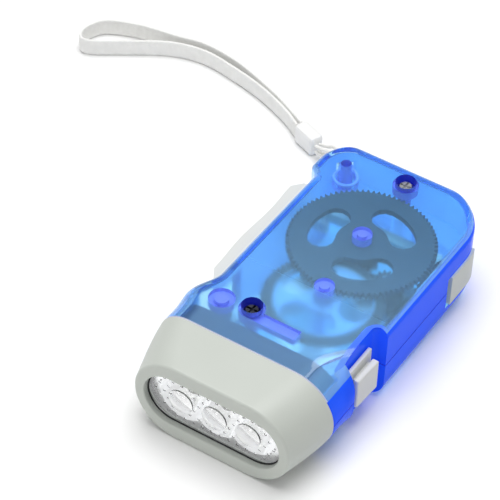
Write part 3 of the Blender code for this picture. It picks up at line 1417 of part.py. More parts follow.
def make_switch():
    front = switch_front_y()
    inner_x = POCKET_X + GAP
    plate_x = inner_x + SWITCH_PLATE
    slider = box(
        "switch_slider",
        (inner_x, front, SWITCH_PLATE_BOTTOM_Z),
        (plate_x, front + SWITCH_PLATE_LENGTH, SWITCH_PLATE_TOP_Z),
        "grey_plastic",
    )
    block_y = front + SWITCH_BLOCK_START
    outline = (
        (plate_x - SINK, block_y),
        (plate_x + SWITCH_BLOCK_FRONT, block_y),
        (plate_x + SWITCH_BLOCK_REAR, block_y + SWITCH_BLOCK_LENGTH),
        (plate_x - SINK, block_y + SWITCH_BLOCK_LENGTH),
    )
    block = prism("switch_block", outline, SWITCH_BLOCK_BOTTOM_Z, SWITCH_BLOCK_TOP_Z)
    stem_y = front + SWITCH_STEM_FROM_FRONT
    stem = box(
        "switch_stem",
        (inner_x - SWITCH_STEM_REACH, stem_y, PARTING_Z - SWITCH_STEM_HEIGHT / 2),
        (inner_x + SINK, stem_y + SWITCH_STEM, PARTING_Z + SWITCH_STEM_HEIGHT / 2),
    )
    fuse(slider, block, stem)
    board_x = inner_x - SWITCH_STEM_REACH - GAP
    middle = stem_y + SWITCH_STEM / 2
    box(
        "switch_board",
        (board_x - SWITCH_BOARD, middle - SWITCH_BOARD_LENGTH / 2, FLOOR_Z + GAP),
        (board_x, middle + SWITCH_BOARD_LENGTH / 2, FLOOR_Z + GAP + SWITCH_BOARD_HEIGHT),
        "board",
    )


def make_lock():
    outer = HALF_WIDTH + LOCK_BUTTON_PROUD
    inner = outer - LOCK_BUTTON_THICKNESS
    corner = Vector((HALF_WIDTH - TAIL_RIGHT_RADIUS, TAIL_Y - TAIL_RIGHT_RADIUS, 0))
    start = lock_button_y()
    steps = 6
    outline = [(inner, start), (outer, start)]
    outline += arc(corner, outer - corner.x, 0, LOCK_BUTTON_ARC, steps)
    outline += arc(corner, inner - corner.x, LOCK_BUTTON_ARC, 0, steps)
    lock = prism(
        "lock_slider", outline, LOCK_BUTTON_BOTTOM_Z, LOCK_BUTTON_TOP_Z, "grey_plastic"
    )
    bar_y = lock_bar_y()
    tooth_high_x = CATCH_PIN_X - CATCH_PIN_RADIUS - GAP
    tooth_low_x = tooth_high_x - LOCK_TOOTH_WIDTH
    bar = box(
        "lock_bar",
        (tooth_low_x, bar_y, CATCH_BOTTOM_Z),
        (inner + SINK, bar_y + LOCK_BAR_DEPTH, CATCH_TOP_Z),
    )
    tooth = box(
        "lock_tooth",
        (tooth_low_x, bar_y - LOCK_TOOTH_LENGTH, CATCH_BOTTOM_Z),
        (tooth_high_x, bar_y + SINK, CATCH_TOP_Z),
    )
    fuse(lock, bar, tooth)


def make_screw(name, place):
    head_low = BODY_THICKNESS - SCREW_HEAD_DEPTH + GAP / 2
    head_high = head_low + SCREW_HEAD_HEIGHT
    edge = SCREW_HEAD_HEIGHT / 2
    profile = (
        (0, PARTING_Z - SCREW_BITE),
        (SCREW_RADIUS, PARTING_Z - SCREW_BITE + SCREW_RADIUS),
        (SCREW_RADIUS, head_low),
        (SCREW_HEAD_RADIUS, head_low),
        (SCREW_HEAD_RADIUS, head_low + edge),
        (SCREW_HEAD_RADIUS - edge, head_high),
        (0, head_high),
    )
    screw = turned(name, profile, place, "steel", steps=16)
    reach = SCREW_HEAD_RADIUS - edge
    half = SCREW_SLOT / 2
    for axis, (x, y) in (("x", (reach, half)), ("y", (half, reach))):
        slot = box(
            f"{name}_slot_{axis}",
            (place.x - x, place.y - y, head_high - edge),
            (place.x + x, place.y + y, head_high + OVERRUN),
        )
        carve(screw, slot)


def make_strap():
    height = BAND_WIDTH / 2 + GAP
    route = [(x * MM, y * MM, height) for x, y in BAND_ROUTE]
    points = smooth_route(route, BAND_SPACING)
    band = tube("strap_band", points, BAND_THICKNESS / 2, "white_weave", sides=1)
    band.data.extrude = (BAND_WIDTH - BAND_THICKNESS) / 2
    band.data.twist_mode = "Z_UP"
    for name, places in CORD_ROUTES.items():
        route = [tuple(value * MM for value in place) for place in places]
        tube(name, smooth_route(route, CORD_SPACING), CORD_RADIUS, "white_weave", sides=1)
    middle = Vector((FERRULE_CENTRE[0], FERRULE_CENTRE[1], FERRULE_HEIGHT / 2))
    half = (FERRULE_LENGTH / 2, FERRULE_WIDTH / 2, FERRULE_HEIGHT / 2)
    ferrule = box("strap_ferrule", tuple(-value for value in half), half, "white_plastic")
    rounding = ferrule.modifiers.new("rounded_edges", "BEVEL")
    rounding.width = BAND_THICKNESS
    rounding.segments = 2
    ferrule.rotation_euler = (0, 0, FERRULE_TURN)
    ferrule.location = middle


def main():
    for obj in list(bpy.data.objects):
        bpy.data.objects.remove(obj)
    make_shells()
    make_nose()
    make_lens()
    make_reflector()
    make_leds()
    make_lever()
    make_catch_pin()
    make_pins()
    make_springs()
    make_drive_train()
    make_idler()
    make_rotor()
    make_generator()
    make_cells()
    make_switch()
    make_lock()
    make_screw("screw_front", FRONT_SCREW)
    make_screw("screw_tail", TAIL_SCREW)
    make_strap()
    for obj in bpy.data.objects:
        if obj.type == "MESH":
            obj.data.shade_smooth()
            obj.data.set_sharp_from_angle(angle=SHARP_EDGE)


main()
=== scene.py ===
import math

import bpy
import numpy as np
from mathutils import Matrix, Vector
from mathutils.bvhtree import BVHTree


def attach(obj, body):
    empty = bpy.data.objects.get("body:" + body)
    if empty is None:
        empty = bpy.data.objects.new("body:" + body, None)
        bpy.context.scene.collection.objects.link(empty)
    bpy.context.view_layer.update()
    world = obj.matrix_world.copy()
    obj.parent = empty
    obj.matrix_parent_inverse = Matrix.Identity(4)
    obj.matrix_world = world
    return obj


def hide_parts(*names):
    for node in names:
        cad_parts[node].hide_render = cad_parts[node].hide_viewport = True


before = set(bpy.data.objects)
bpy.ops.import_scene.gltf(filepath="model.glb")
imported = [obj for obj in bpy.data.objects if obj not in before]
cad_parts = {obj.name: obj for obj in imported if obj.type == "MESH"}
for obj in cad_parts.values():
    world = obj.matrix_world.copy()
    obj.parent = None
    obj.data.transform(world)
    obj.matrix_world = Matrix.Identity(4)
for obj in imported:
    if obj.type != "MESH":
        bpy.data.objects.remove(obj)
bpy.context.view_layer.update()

# The torch lies on a plain white table under a broad soft light, with a white room round it that
# is paler overhead. Three small lamps in front of the nose give the window its sparkle.
# It is seen from above its nose, a little to the switch side, as in the photograph.
MM = 0.001
CAMERA_PLACE = (208.1, -375.0, 443.3)
CAMERA_AZIMUTH = math.radians(31.24)
CAMERA_ELEVATION = math.radians(43.9)
CAMERA_ROLL = math.radians(2.32)
CAMERA_LENS = 175.36
CAMERA_REACH = 10.0
TABLE_HALF = 3000.0
TABLE_TONES = ((0.96, 0.96, 0.96, 1), (0.98, 0.98, 0.98, 1))


def node(tree, kind, inputs=(), **settings):
    """Adds one shader node. An input is a value, or the socket that feeds it."""
    made = tree.nodes.new("ShaderNode" + kind)
    for name, value in settings.items():
        setattr(made, name, value)
    for name, value in dict(inputs).items():
        if isinstance(value, bpy.types.NodeSocket):
            tree.links.new(value, made.inputs[name])
        else:
            made.inputs[name].default_value = value
    return made


def start_material(name, **inputs):
    """A material, its nodes and its main shader, with the shader's plain values set."""
    material = bpy.data.materials.new(name)
    material.use_nodes = True
    tree = material.node_tree
    shader = tree.nodes["Principled BSDF"]
    for label, value in inputs.items():
        shader.inputs[label.replace("_", " ")].default_value = value
    return material, tree, shader


def solid(name, points, faces, material):
    """A mesh from points in millimetres, turned to face outwards."""
    mesh = bpy.data.meshes.new(name)
    mesh.from_pydata([[value * MM for value in point] for point in points], [], faces)
    mesh.update()
    corners = np.array([tuple(point) for point in points], float)
    volume = 0.0
    for face in faces:
        first = corners[face[0]]
        for second, third in zip(face[1:-1], face[2:]):
            volume += float(np.dot(first, np.cross(corners[second], corners[third])))
    if volume < 0:
        mesh.flip_normals()
    mesh.materials.append(material)
    piece = bpy.data.objects.new(name, mesh)
    bpy.context.scene.collection.objects.link(piece)
    return piece


camera_data = bpy.data.cameras.new("camera")
camera_data.lens = CAMERA_LENS
camera_data.clip_end = CAMERA_REACH
camera = bpy.data.objects.new("camera", camera_data)
bpy.context.scene.collection.objects.link(camera)
back = Vector((
    math.sin(CAMERA_AZIMUTH) * math.cos(CAMERA_ELEVATION),
    -math.cos(CAMERA_AZIMUTH) * math.cos(CAMERA_ELEVATION),
    math.sin(CAMERA_ELEVATION),
))
level = Vector((math.cos(CAMERA_AZIMUTH), math.sin(CAMERA_AZIMUTH), 0))
upright = back.cross(level)
right = level * math.cos(CAMERA_ROLL) + upright * math.sin(CAMERA_ROLL)
up = upright * math.cos(CAMERA_ROLL) - level * math.sin(CAMERA_ROLL)
camera_place = Matrix.Translation(Vector(CAMERA_PLACE) * MM)
camera.matrix_world = camera_place @ Matrix((right, up, back)).transposed().to_4x4()
bpy.context.scene.camera = camera
bpy.context.scene.view_settings.view_transform = "Standard"

table_paint, tree, shader = start_material("table_paint", Roughness=0.6)
grain = node(tree, "TexNoise", {"Scale": 900.0, "Detail": 3.0})
tone = node(tree, "MixRGB", {0: grain.outputs[0], 1: TABLE_TONES[0], 2: TABLE_TONES[1]})
tree.links.new(tone.outputs[0], shader.inputs["Base Color"])
table = solid(
    "table",
    [(x * TABLE_HALF, y * TABLE_HALF, 0) for x, y in ((-1, -1), (1, -1), (1, 1), (-1, 1))],
    [(0, 1, 2, 3)],
    table_paint,
)

world = bpy.data.worlds.new("white_room")
world.use_nodes = True
sky = world.node_tree
background = sky.nodes["Background"]
background.inputs["Color"].default_value = (1, 1, 1, 1)
place = node(sky, "TexCoord")
rise = node(sky, "SeparateXYZ", {0: place.outputs["Generated"]})
strength = node(sky, "MapRange", {
    "Value": rise.outputs["Z"], "From Max": 0.9, "To Min": 0.13, "To Max": 0.44,
})
sky.links.new(strength.outputs[0], background.inputs["Strength"])
bpy.context.scene.world = world
# Each lamp has a name, a place, a side and a power
LAMPS = (
    ("overhead_softbox", (-90, 190, 1400), 1200, 18.5),
    ("left_sparkle", (-330, -560, 150), 120, 0.2),
    ("middle_sparkle", (-40, -700, 80), 120, 0.2),
    ("right_sparkle", (230, -620, 260), 120, 0.2),
)
for name, place, side, power in LAMPS:
    lamp_data = bpy.data.lights.new(name, "AREA")
    lamp_data.size = side * MM
    lamp_data.energy = power
    lamp = bpy.data.objects.new(name, lamp_data)
    lamp.location = Vector(place) * MM
    lamp.rotation_euler = (-lamp.location).to_track_quat("-Z", "Y").to_euler()
    bpy.context.scene.collection.objects.link(lamp)

# The housing is two shells of clear blue plastic, moulded with posts for the pins and screws on
# their frosted insides. They meet along the side, and the left wall steps in to take the lever.
HALF_WIDTH = 25.0
THICKNESS = 24.0
MID_Z = THICKNESS / 2
WALL = 2.0
GAP = 0.3
SINK = 0.5
OVERRUN = 1.0
SEAM_Y = -31.5
TAIL_Y = 47.0
ROOF_Z = THICKNESS - WALL
LEVER_RECESS = 5.0
BULGE_END_Y = -22.0
BULGE_FADE = 10.0
RECESS_END_Y = TAIL_Y - 16.0
RECESS_END_FADE = 3.5
RECESS_X = -HALF_WIDTH + LEVER_RECESS
TAIL_LEFT_X = -HALF_WIDTH + 2.5
TAIL_LEFT_RADIUS = 9.0
TAIL_RIGHT_RADIUS = 15.0
POCKET_DEPTH = 3.8
POCKET_FRONT_Y = -22.0
POCKET_REAR_Y = POCKET_FRONT_Y + 14.7
POCKET_RAMP = 0.8
POCKET_CORNER_RADIUS = 1.8
TOP_EDGE_RADIUS = 2.5
BOTTOM_EDGE_RADIUS = 6.0
SEAM_SIDE_RADIUS = 11.8
SEAM_LEFT_RADIUS = 8.0
ROUND_SIDE_LENGTH = 4.0
ROUND_SIDE_FADE = 16.0
CORNER_POINTS = 11
TAIL_STEPS = 18
SEAM_CHAMFER = 0.35
STATION_STEP = 1.1
LEAST_STATION_STEP = 0.05
PIVOT = Vector((-15.0, -19.515, 0))
DRIVE = Vector((1.6, 19.5, 0))
IDLER = Vector((3.4, -1.573, 0))
ROTOR = Vector((12.175, 13.625, 0))
FRONT_SCREW = Vector((-7.0, -18.3, 0))
TAIL_SCREW = Vector((1.4, 41.5, 0))
STRAP_POST = Vector((-15.4, 39.8, 0))
LEVER_LOW_Z = 4.5
LEVER_HIGH_Z = 19.5
DRIVE_TOP_Z = 19.4
CATCH_LOW_Z = 8.5
CATCH_HIGH_Z = 11.5
CATCH_Y = RECESS_END_Y - 4.5
LOCK_TRAVEL = 1.2
LOCK_LOW_Z = 6.9
LOCK_HIGH_Z = 16.3
LOCK_Y = 24.7
LOCK_END_Y = 37.2
LOCK_THICKNESS = 2.4
PARTING_Z = 12.0
POCKET_X = HALF_WIDTH - POCKET_DEPTH
SWITCH_Y = POCKET_FRONT_Y + POCKET_RAMP + GAP
TAIL_FROST = 0.07
NOSE_FROST = 0.3
TAIL_FROST_Y = 42.0
NOSE_FROST_Y = -10.0
WALL_TINT = (0.04, 0.2, 1.0, 1)
BACK_TINT = (0.3, 0.6, 1.0, 1)
ROOF_TINTS = ((0.33, 0.7, 1.0, 1), (0.39, 0.75, 1.0, 1))
FLOOR_TINTS = ((0.34, 0.76, 1.0, 1), (0.39, 0.8, 1.0, 1))
TURN_TINTS = ((0.33, 0.67, 1.0, 1), (0.38, 0.72, 1.0, 1))
BEND_TINTS = ((0.3, 0.62, 1.0, 1), (0.34, 0.66, 1.0, 1))
UPRIGHT_TINTS = ((0.38, 0.69, 1.0, 1), (0.42, 0.73, 1.0, 1))
SIDE_TINTS = ((0.02, 0.11, 1.0, 1), (0.02, 0.11, 1.0, 1))
# A darker blue as painted shade, for the deep screw wells and the parting faces by the switch.
WELL_SHADE_TINTS = ((0.03, 0.05, 0.7, 1), (0.04, 0.07, 0.8, 1))
POST_TINTS = ((0.4, 0.34, 1.0, 1), (0.45, 0.4, 1.0, 1))
# A pale blue-white for the seam's chamfer, as a painted highlight along the seam.
SEAM_HIGHLIGHT_TINTS = ((0.78, 0.8, 1.0, 1), (0.85, 0.87, 1.0, 1))


def start_group(name, inputs, outputs):
    """A shader node group with named sockets."""
    group = bpy.data.node_groups.new(name, "ShaderNodeTree")
    for label, kind, value in inputs:
        socket = group.interface.new_socket(label, in_out="INPUT", socket_type=kind)
        socket.default_value = value
    for label, kind in outputs:
        group.interface.new_socket(label, in_out="OUTPUT", socket_type=kind)
    start = group.nodes.new("NodeGroupInput")
    end = group.nodes.new("NodeGroupOutput")
    return group, start.outputs, end


def place_group(tree, group, **inputs):
    """Puts a group in a material with its own values."""
    placed = tree.nodes.new("ShaderNodeGroup")
    placed.node_tree = group
    for label, value in inputs.items():
        placed.inputs[label.replace("_", " ")].default_value = value
    return placed.outputs


moulding, given, result = start_group(
    "moulded_surface",
    (
        ("Grain Size", "NodeSocketFloat", 900.0),
        ("Sink Size", "NodeSocketFloat", 60.0),
        ("Sink Share", "NodeSocketFloat", 0.5),
        ("Low Roughness", "NodeSocketFloat", 0.3),
        ("High Roughness", "NodeSocketFloat", 0.45),
    ),
    (("Height", "NodeSocketFloat"), ("Roughness", "NodeSocketFloat"), ("Tone", "NodeSocketFloat")),
)
place = node(moulding, "TexCoord").outputs["Object"]
fine = node(moulding, "TexNoise", {"Vector": place, "Scale": given["Grain Size"], "Detail": 2.0})
broad = node(moulding, "TexNoise", {"Vector": place, "Scale": given["Sink Size"], "Detail": 1.0})
height = node(moulding, "Mix", {"Factor": given["Sink Share"], 2: fine.outputs[0], 3: broad.outputs[0]})
rough = node(moulding, "MapRange", {
    "Value": broad.outputs[0],
    "From Min": 0.3,
    "From Max": 0.7,
    "To Min": given["Low Roughness"],
    "To Max": given["High Roughness"],
})
moulding.links.new(height.outputs[0], result.inputs["Height"])
moulding.links.new(rough.outputs[0], result.inputs["Roughness"])
moulding.links.new(broad.outputs[0], result.inputs["Tone"])


def let_lamps_through(material, colour):
    """Light from the lamps passes a clear piece, tinted, so that what is inside is lit."""
    tree = material.node_tree
    path = node(tree, "LightPath")
    clear = node(tree, "BsdfTransparent", {"Color": colour})
    shader = tree.nodes["Principled BSDF"]
    mixed = node(tree, "MixShader", {
        0: path.outputs["Is Shadow Ray"], 1: shader.outputs[0], 2: clear.outputs[0],
    })
    tree.links.new(mixed.outputs[0], tree.nodes["Material Output"].inputs["Surface"])


def blue(
    name,
    transmission,
    flat_tints,
    wall_tint=WALL_TINT,
    back_tint=BACK_TINT,
    glow=0.0,
    glows_outside=False,
    shine=0.3,
    bending=1.49,
):
    """The shells' plastic, deeper in colour on its upright faces. Its glow is painted light: the faces emit
    light, though they are no lamp, in place of light scattered inside the plastic.
    """
    material, tree, shader = start_material(
        name, Transmission_Weight=transmission, IOR=bending, Specular_IOR_Level=shine, Emission_Strength=glow
    )
    surface = place_group(
        tree, moulding,
        Grain_Size=700.0, Sink_Size=45.0, Sink_Share=0.85, Low_Roughness=0.02, High_Roughness=0.05,
    )
    flat_tint = node(tree, "MixRGB", {0: surface["Tone"], 1: flat_tints[0], 2: flat_tints[1]})
    facing = node(tree, "NewGeometry")
    upright = node(tree, "SeparateXYZ", {0: facing.outputs["Normal"]})
    steep = node(tree, "Math", {0: upright.outputs["Z"]}, operation="ABSOLUTE")
    wall_share = node(tree, "MapRange", {"Value": steep.outputs[0], "From Min": 0.75, "From Max": 0.2})
    inside = node(tree, "Attribute", attribute_name="inside").outputs["Fac"]
    outer_share = node(
        tree, "Math", {0: wall_share.outputs[0], 1: inside}, operation="SUBTRACT", use_clamp=True
    )
    side_share = node(tree, "MapRange", {"Value": upright.outputs["X"], "From Min": 0.3, "From Max": 0.75})
    deep_tint = node(tree, "MixRGB", {0: side_share.outputs[0], 1: back_tint, 2: wall_tint})
    tint = node(tree, "MixRGB", {0: outer_share.outputs[0], 1: flat_tint.outputs[0], 2: deep_tint.outputs[0]})
    place = node(tree, "TexCoord")
    along = node(tree, "SeparateXYZ", {0: place.outputs["Object"]})
    frost = node(tree, "MapRange", {
        "Value": along.outputs["Y"],
        "From Min": TAIL_FROST_Y * MM,
        "From Max": NOSE_FROST_Y * MM,
        "To Min": TAIL_FROST,
        "To Max": NOSE_FROST,
    })
    frosted = node(tree, "Mix", {"Factor": inside, 2: surface["Roughness"], 3: frost.outputs[0]})
    bump = node(tree, "Bump", {"Height": surface["Height"], "Strength": 0.12, "Distance": 0.4 * MM})
    # Painted glow: inside faces emit their tint as light, and outer faces emit it only where the glow is set
    # to show outside.
    glow_tint = node(tree, "MixRGB", {0: inside, 1: (0, 0, 0, 1), 2: tint.outputs[0]})
    tree.links.new(tint.outputs[0], shader.inputs["Base Color"])
    tree.links.new((tint if glows_outside else glow_tint).outputs[0], shader.inputs["Emission Color"])
    tree.links.new(frosted.outputs[0], shader.inputs["Roughness"])
    tree.links.new(bump.outputs[0], shader.inputs["Normal"])
    let_lamps_through(material, (0.9, 0.97, 1.0, 1))
    depth = node(tree, "VolumeAbsorption", {"Color": (0.25, 0.55, 0.98, 1), "Density": 45.0})
    tree.links.new(depth.outputs[0], tree.nodes["Material Output"].inputs["Volume"])
    return material


def one_blue(name, transmission, tints, **settings):
    """The shells' plastic where it has the same colour whichever way it faces."""
    return blue(name, transmission, tints, tints[0], tints[0], **settings)


# The glow given below to the floor, bends, walls and switch side is painted light: those faces emit light
# though they are no lamp.
blue_plastic = blue("blue_clear_plastic", 0.96, ROOF_TINTS)
blue_floor = blue("blue_plastic_in_the_floor", 0.15, FLOOR_TINTS, glow=0.24)
blue_turn = blue("blue_plastic_in_slight_bends", 0.75, TURN_TINTS, shine=0.15)
blue_bend = blue("blue_plastic_in_bends", 0.45, BEND_TINTS, glow=0.1, shine=0.15)
blue_wall = blue("blue_plastic_in_walls", 0.35, UPRIGHT_TINTS, glow=0.25, shine=0.15)
blue_side = one_blue(
    "blue_plastic_on_the_switch_side", 0.15, SIDE_TINTS, glow=0.12, glows_outside=True, shine=0.1, bending=1.2
)
# Painted shade: the screw wells and the parting faces by the switch take this darker blue.
blue_well_shade = one_blue("blue_plastic_painted_dark_for_shade", 0.2, WELL_SHADE_TINTS)
blue_post = one_blue("blue_plastic_in_posts", 0.35, POST_TINTS)
# Painted highlight: the faces at the seam take this pale blue.
blue_seam_highlight = one_blue("blue_plastic_painted_seam_highlight", 0.15, SEAM_HIGHLIGHT_TINTS)


def loft(name, rings, material, closed=False):
    """Joins rings of equal point counts. A closed loft also joins the last ring to the first."""
    count = len(rings[0])
    points = [point for ring in rings for point in ring]
    faces = []
    for index in range(len(rings) - (not closed)):
        following = (index + 1) % len(rings)
        for corner in range(count):
            beside = (corner + 1) % count
            faces.append((
                index * count + corner,
                index * count + beside,
                following * count + beside,
                following * count + corner,
            ))
    if not closed:
        faces.append(tuple(reversed(range(count))))
        faces.append(tuple(range((len(rings) - 1) * count, len(rings) * count)))
    return solid(name, points, faces, material)


def prism(name, outline, low, high, material):
    """A solid of one outline between two heights."""
    return loft(name, [[(x, y, z) for x, y in outline] for z in (low, high)], material)


def box(name, low, high, material):
    """A block between two corners."""
    outline = ((low[0], low[1]), (high[0], low[1]), (high[0], high[1]), (low[0], high[1]))
    return prism(name, outline, low[2], high[2], material)


def turned(name, profile, centre, material, steps=40, turn=None):
    """Turns a profile of (radius, height) points about an upright axis, or the axis that turn gives."""
    points = []
    rows = []
    for radius, rise in profile:
        if radius == 0:
            rows.append([len(points)] * steps)
            points.append(Vector((0, 0, rise)))
            continue
        rows.append([len(points) + step for step in range(steps)])
        for step in range(steps):
            angle = 2 * math.pi * step / steps
            points.append(Vector((radius * math.cos(angle), radius * math.sin(angle), rise)))
    if profile[0][0] != 0:
        rows.append(rows[0])
    faces = []
    for row, following in zip(rows[:-1], rows[1:]):
        for step in range(steps):
            beside = (step + 1) % steps
            corners = (row[step], row[beside], following[beside], following[step])
            faces.append(tuple(dict.fromkeys(corners)))
    if turn:
        points = [turn @ point for point in points]
    return solid(name, [point + centre for point in points], faces, material)


def rod(name, centre, radius, low, high, material, steps=40):
    """An upright round rod between two heights."""
    return turned(name, ((0, low), (radius, low), (radius, high), (0, high)), centre, material, steps)


def work(piece, operation, tools, solver="MANIFOLD"):
    """Adds the tools to a piece or takes them away, and removes them."""
    for tool in tools:
        step = piece.modifiers.new(tool.name, "BOOLEAN")
        step.operation = operation
        step.solver = solver
        step.object = tool
    graph = bpy.context.evaluated_depsgraph_get()
    shaped = bpy.data.meshes.new_from_object(piece.evaluated_get(graph))
    piece.modifiers.clear()
    piece.data = shaped
    for tool in tools:
        bpy.data.objects.remove(tool)


def smooth(piece, sharp=32):
    """Smooths the shading of round faces and keeps the flat ones flat."""
    piece.data.shade_smooth()
    piece.data.set_sharp_from_angle(angle=math.radians(sharp))
    even = piece.modifiers.new("even_shading", "WEIGHTED_NORMAL")
    even.keep_sharp = True


def eased(share):
    """A share from 0 to 1 with a soft start and end."""
    share = min(max(share, 0), 1)
    return (1 - math.cos(math.pi * share)) / 2


def left_edge(y, inset):
    """X of the left wall at a station, inset from the outer face."""
    if y <= RECESS_END_Y:
        out = -HALF_WIDTH + LEVER_RECESS * eased((y - BULGE_END_Y) / BULGE_FADE)
    else:
        out = RECESS_X + (TAIL_LEFT_X - RECESS_X) * eased((y - RECESS_END_Y) / RECESS_END_FADE)
    corner_y = TAIL_Y - TAIL_LEFT_RADIUS
    if y <= corner_y:
        return out + inset
    radius = TAIL_LEFT_RADIUS - inset
    return TAIL_LEFT_X + TAIL_LEFT_RADIUS - math.sqrt(max(radius**2 - (y - corner_y) ** 2, 0))


def right_edge(y, inset):
    """X of the right wall at a station, inset from the outer face."""
    corner_y = TAIL_Y - TAIL_RIGHT_RADIUS
    if y > corner_y:
        radius = TAIL_RIGHT_RADIUS - inset
        return HALF_WIDTH - TAIL_RIGHT_RADIUS + math.sqrt(max(radius**2 - (y - corner_y) ** 2, 0))
    return HALF_WIDTH - inset


def end_drop(y, inset, radius):
    """How far an edge has come in near the tail's end, by its edge radius."""
    radius = max(radius - inset, GAP)
    into = y - (TAIL_Y - inset - radius)
    return 0 if into <= 0 else radius - math.sqrt(max(radius**2 - into**2, 0))


def corner_ring(left, right, low, high, radii, y, points=CORNER_POINTS):
    """An upright ring with four rounded corners: low right, high right, high left, low left."""
    corners = (
        (right, low, -1, 1, -math.pi / 2),
        (right, high, -1, -1, 0),
        (left, high, 1, -1, math.pi / 2),
        (left, low, 1, 1, math.pi),
    )
    widest = min(right - left, high - low) / 2
    ring = []
    for (x, z, inward_x, inward_z, start), radius in zip(corners, radii):
        radius = min(radius, widest)
        for step in range(points):
            angle = start + math.pi / 2 * step / (points - 1)
            ring.append((
                x + inward_x * radius + radius * math.cos(angle),
                y,
                z + inward_z * radius + radius * math.sin(angle),
            ))
    return ring


def housing_ring(y, inset, ring_y):
    """The housing's section at y, inset from the outer face and placed at ring_y."""
    fade = eased((y - SEAM_Y - ROUND_SIDE_LENGTH) / ROUND_SIDE_FADE)
    top = SEAM_SIDE_RADIUS + (TOP_EDGE_RADIUS - SEAM_SIDE_RADIUS) * fade
    bottom = SEAM_SIDE_RADIUS + (BOTTOM_EDGE_RADIUS - SEAM_SIDE_RADIUS) * fade
    top_left = SEAM_LEFT_RADIUS + (TOP_EDGE_RADIUS - SEAM_LEFT_RADIUS) * fade
    low_left = SEAM_LEFT_RADIUS + (BOTTOM_EDGE_RADIUS - SEAM_LEFT_RADIUS) * fade
    radii = [max(radius - inset, GAP) for radius in (bottom, top, top_left, low_left)]
    low = inset + end_drop(y, inset, BOTTOM_EDGE_RADIUS)
    high = THICKNESS - inset - end_drop(y, inset, TOP_EDGE_RADIUS)
    return corner_ring(left_edge(y, inset), right_edge(y, inset), low, high, radii, ring_y)


def housing_loft(name, inset):
    """The housing's outer form, or with an inset its hollow, with the thumb pocket cut in."""
    stations = {SEAM_Y, RECESS_END_Y, RECESS_END_Y + RECESS_END_FADE}
    end = TAIL_Y - TAIL_RIGHT_RADIUS
    count = round((end - SEAM_Y) / STATION_STEP)
    stations |= {SEAM_Y + (end - SEAM_Y) * step / count for step in range(count + 1)}
    for step in range(TAIL_STEPS + 1):
        angle = math.pi / 2 * step / TAIL_STEPS
        stations.add(end + (TAIL_RIGHT_RADIUS - inset) * math.sin(angle))
    rings = []
    last = -math.inf
    for station in sorted(stations):
        if station - last > LEAST_STATION_STEP:
            rings.append(housing_ring(station, inset, station))
            last = station
    if inset:
        rings.insert(0, housing_ring(SEAM_Y, inset, SEAM_Y - OVERRUN))
    else:
        rings[0] = housing_ring(SEAM_Y, 0, SEAM_Y + SEAM_CHAMFER)
        rings.insert(0, housing_ring(SEAM_Y, SEAM_CHAMFER, SEAM_Y))
    shape = loft(name, rings, blue_plastic)
    front, rear = POCKET_FRONT_Y - inset, POCKET_REAR_Y + inset
    inner_x, side_x = POCKET_X - inset, HALF_WIDTH - inset
    clear_x = side_x + POCKET_DEPTH
    corner_radius = POCKET_CORNER_RADIUS + inset
    outline = [(inner_x, front + POCKET_RAMP), (side_x, front), (clear_x, front), (clear_x, rear)]
    for step in range(CORNER_POINTS):
        angle = math.pi / 2 * (1 - step / (CORNER_POINTS - 1))
        outline.append((
            inner_x + corner_radius * (1 - math.cos(angle)),
            rear - corner_radius * (1 - math.sin(angle)),
        ))
    pocket = prism("thumb_pocket", outline, -OVERRUN, THICKNESS + OVERRUN, blue_plastic)
    work(shape, "DIFFERENCE", [pocket])
    return shape


# The shells' plastics in the order of their slots, and how steeply a face's normal has to rise for
# some of them: 0 is a wall's and 1 is a roof's
FLAT, BEND, UPRIGHT, POST, EDGE, TURN, WELL, SIDE = range(8)
FLAT_RISE = 0.95
PARTING_RISE = 0.9
TURN_RISE = 0.75
SIDE_RISE = 0.6
SIDE_FACING = 0.55
BEND_RISE = 0.3
SKIN = 0.1
POST_REACH = 0.2
POCKET_REACH = 0.5
WELL_REACH = 2.8
HOUSING_MIDDLE = Vector((0, 5.0, MID_Z))
BOSS_RADIUS = 3.4
AXLE_BOSS_RADIUS = 2.6
STRAP_POST_RADIUS = 1.9
POSTS = (
    (PIVOT, BOSS_RADIUS), (DRIVE, AXLE_BOSS_RADIUS), (IDLER, AXLE_BOSS_RADIUS),
    (FRONT_SCREW, BOSS_RADIUS), (TAIL_SCREW, BOSS_RADIUS), (STRAP_POST, STRAP_POST_RADIUS),
)
RIB_DEPTH = 1.8
RIB_REACH = 14.2
RIB_LOW = Vector((FRONT_SCREW.x - OVERRUN, FRONT_SCREW.y - BOSS_RADIUS, ROOF_Z - RIB_DEPTH))
RIB_HIGH = Vector((FRONT_SCREW.x + RIB_REACH, FRONT_SCREW.y, ROOF_Z + SINK))


def in_pocket(centre, rise):
    """Whether a face is one of the thumb pocket's walls."""
    beside = centre.x > POCKET_X - POCKET_REACH and rise < TURN_RISE
    return beside and POCKET_FRONT_Y - POCKET_REACH < centre.y < POCKET_REAR_Y + POCKET_REACH


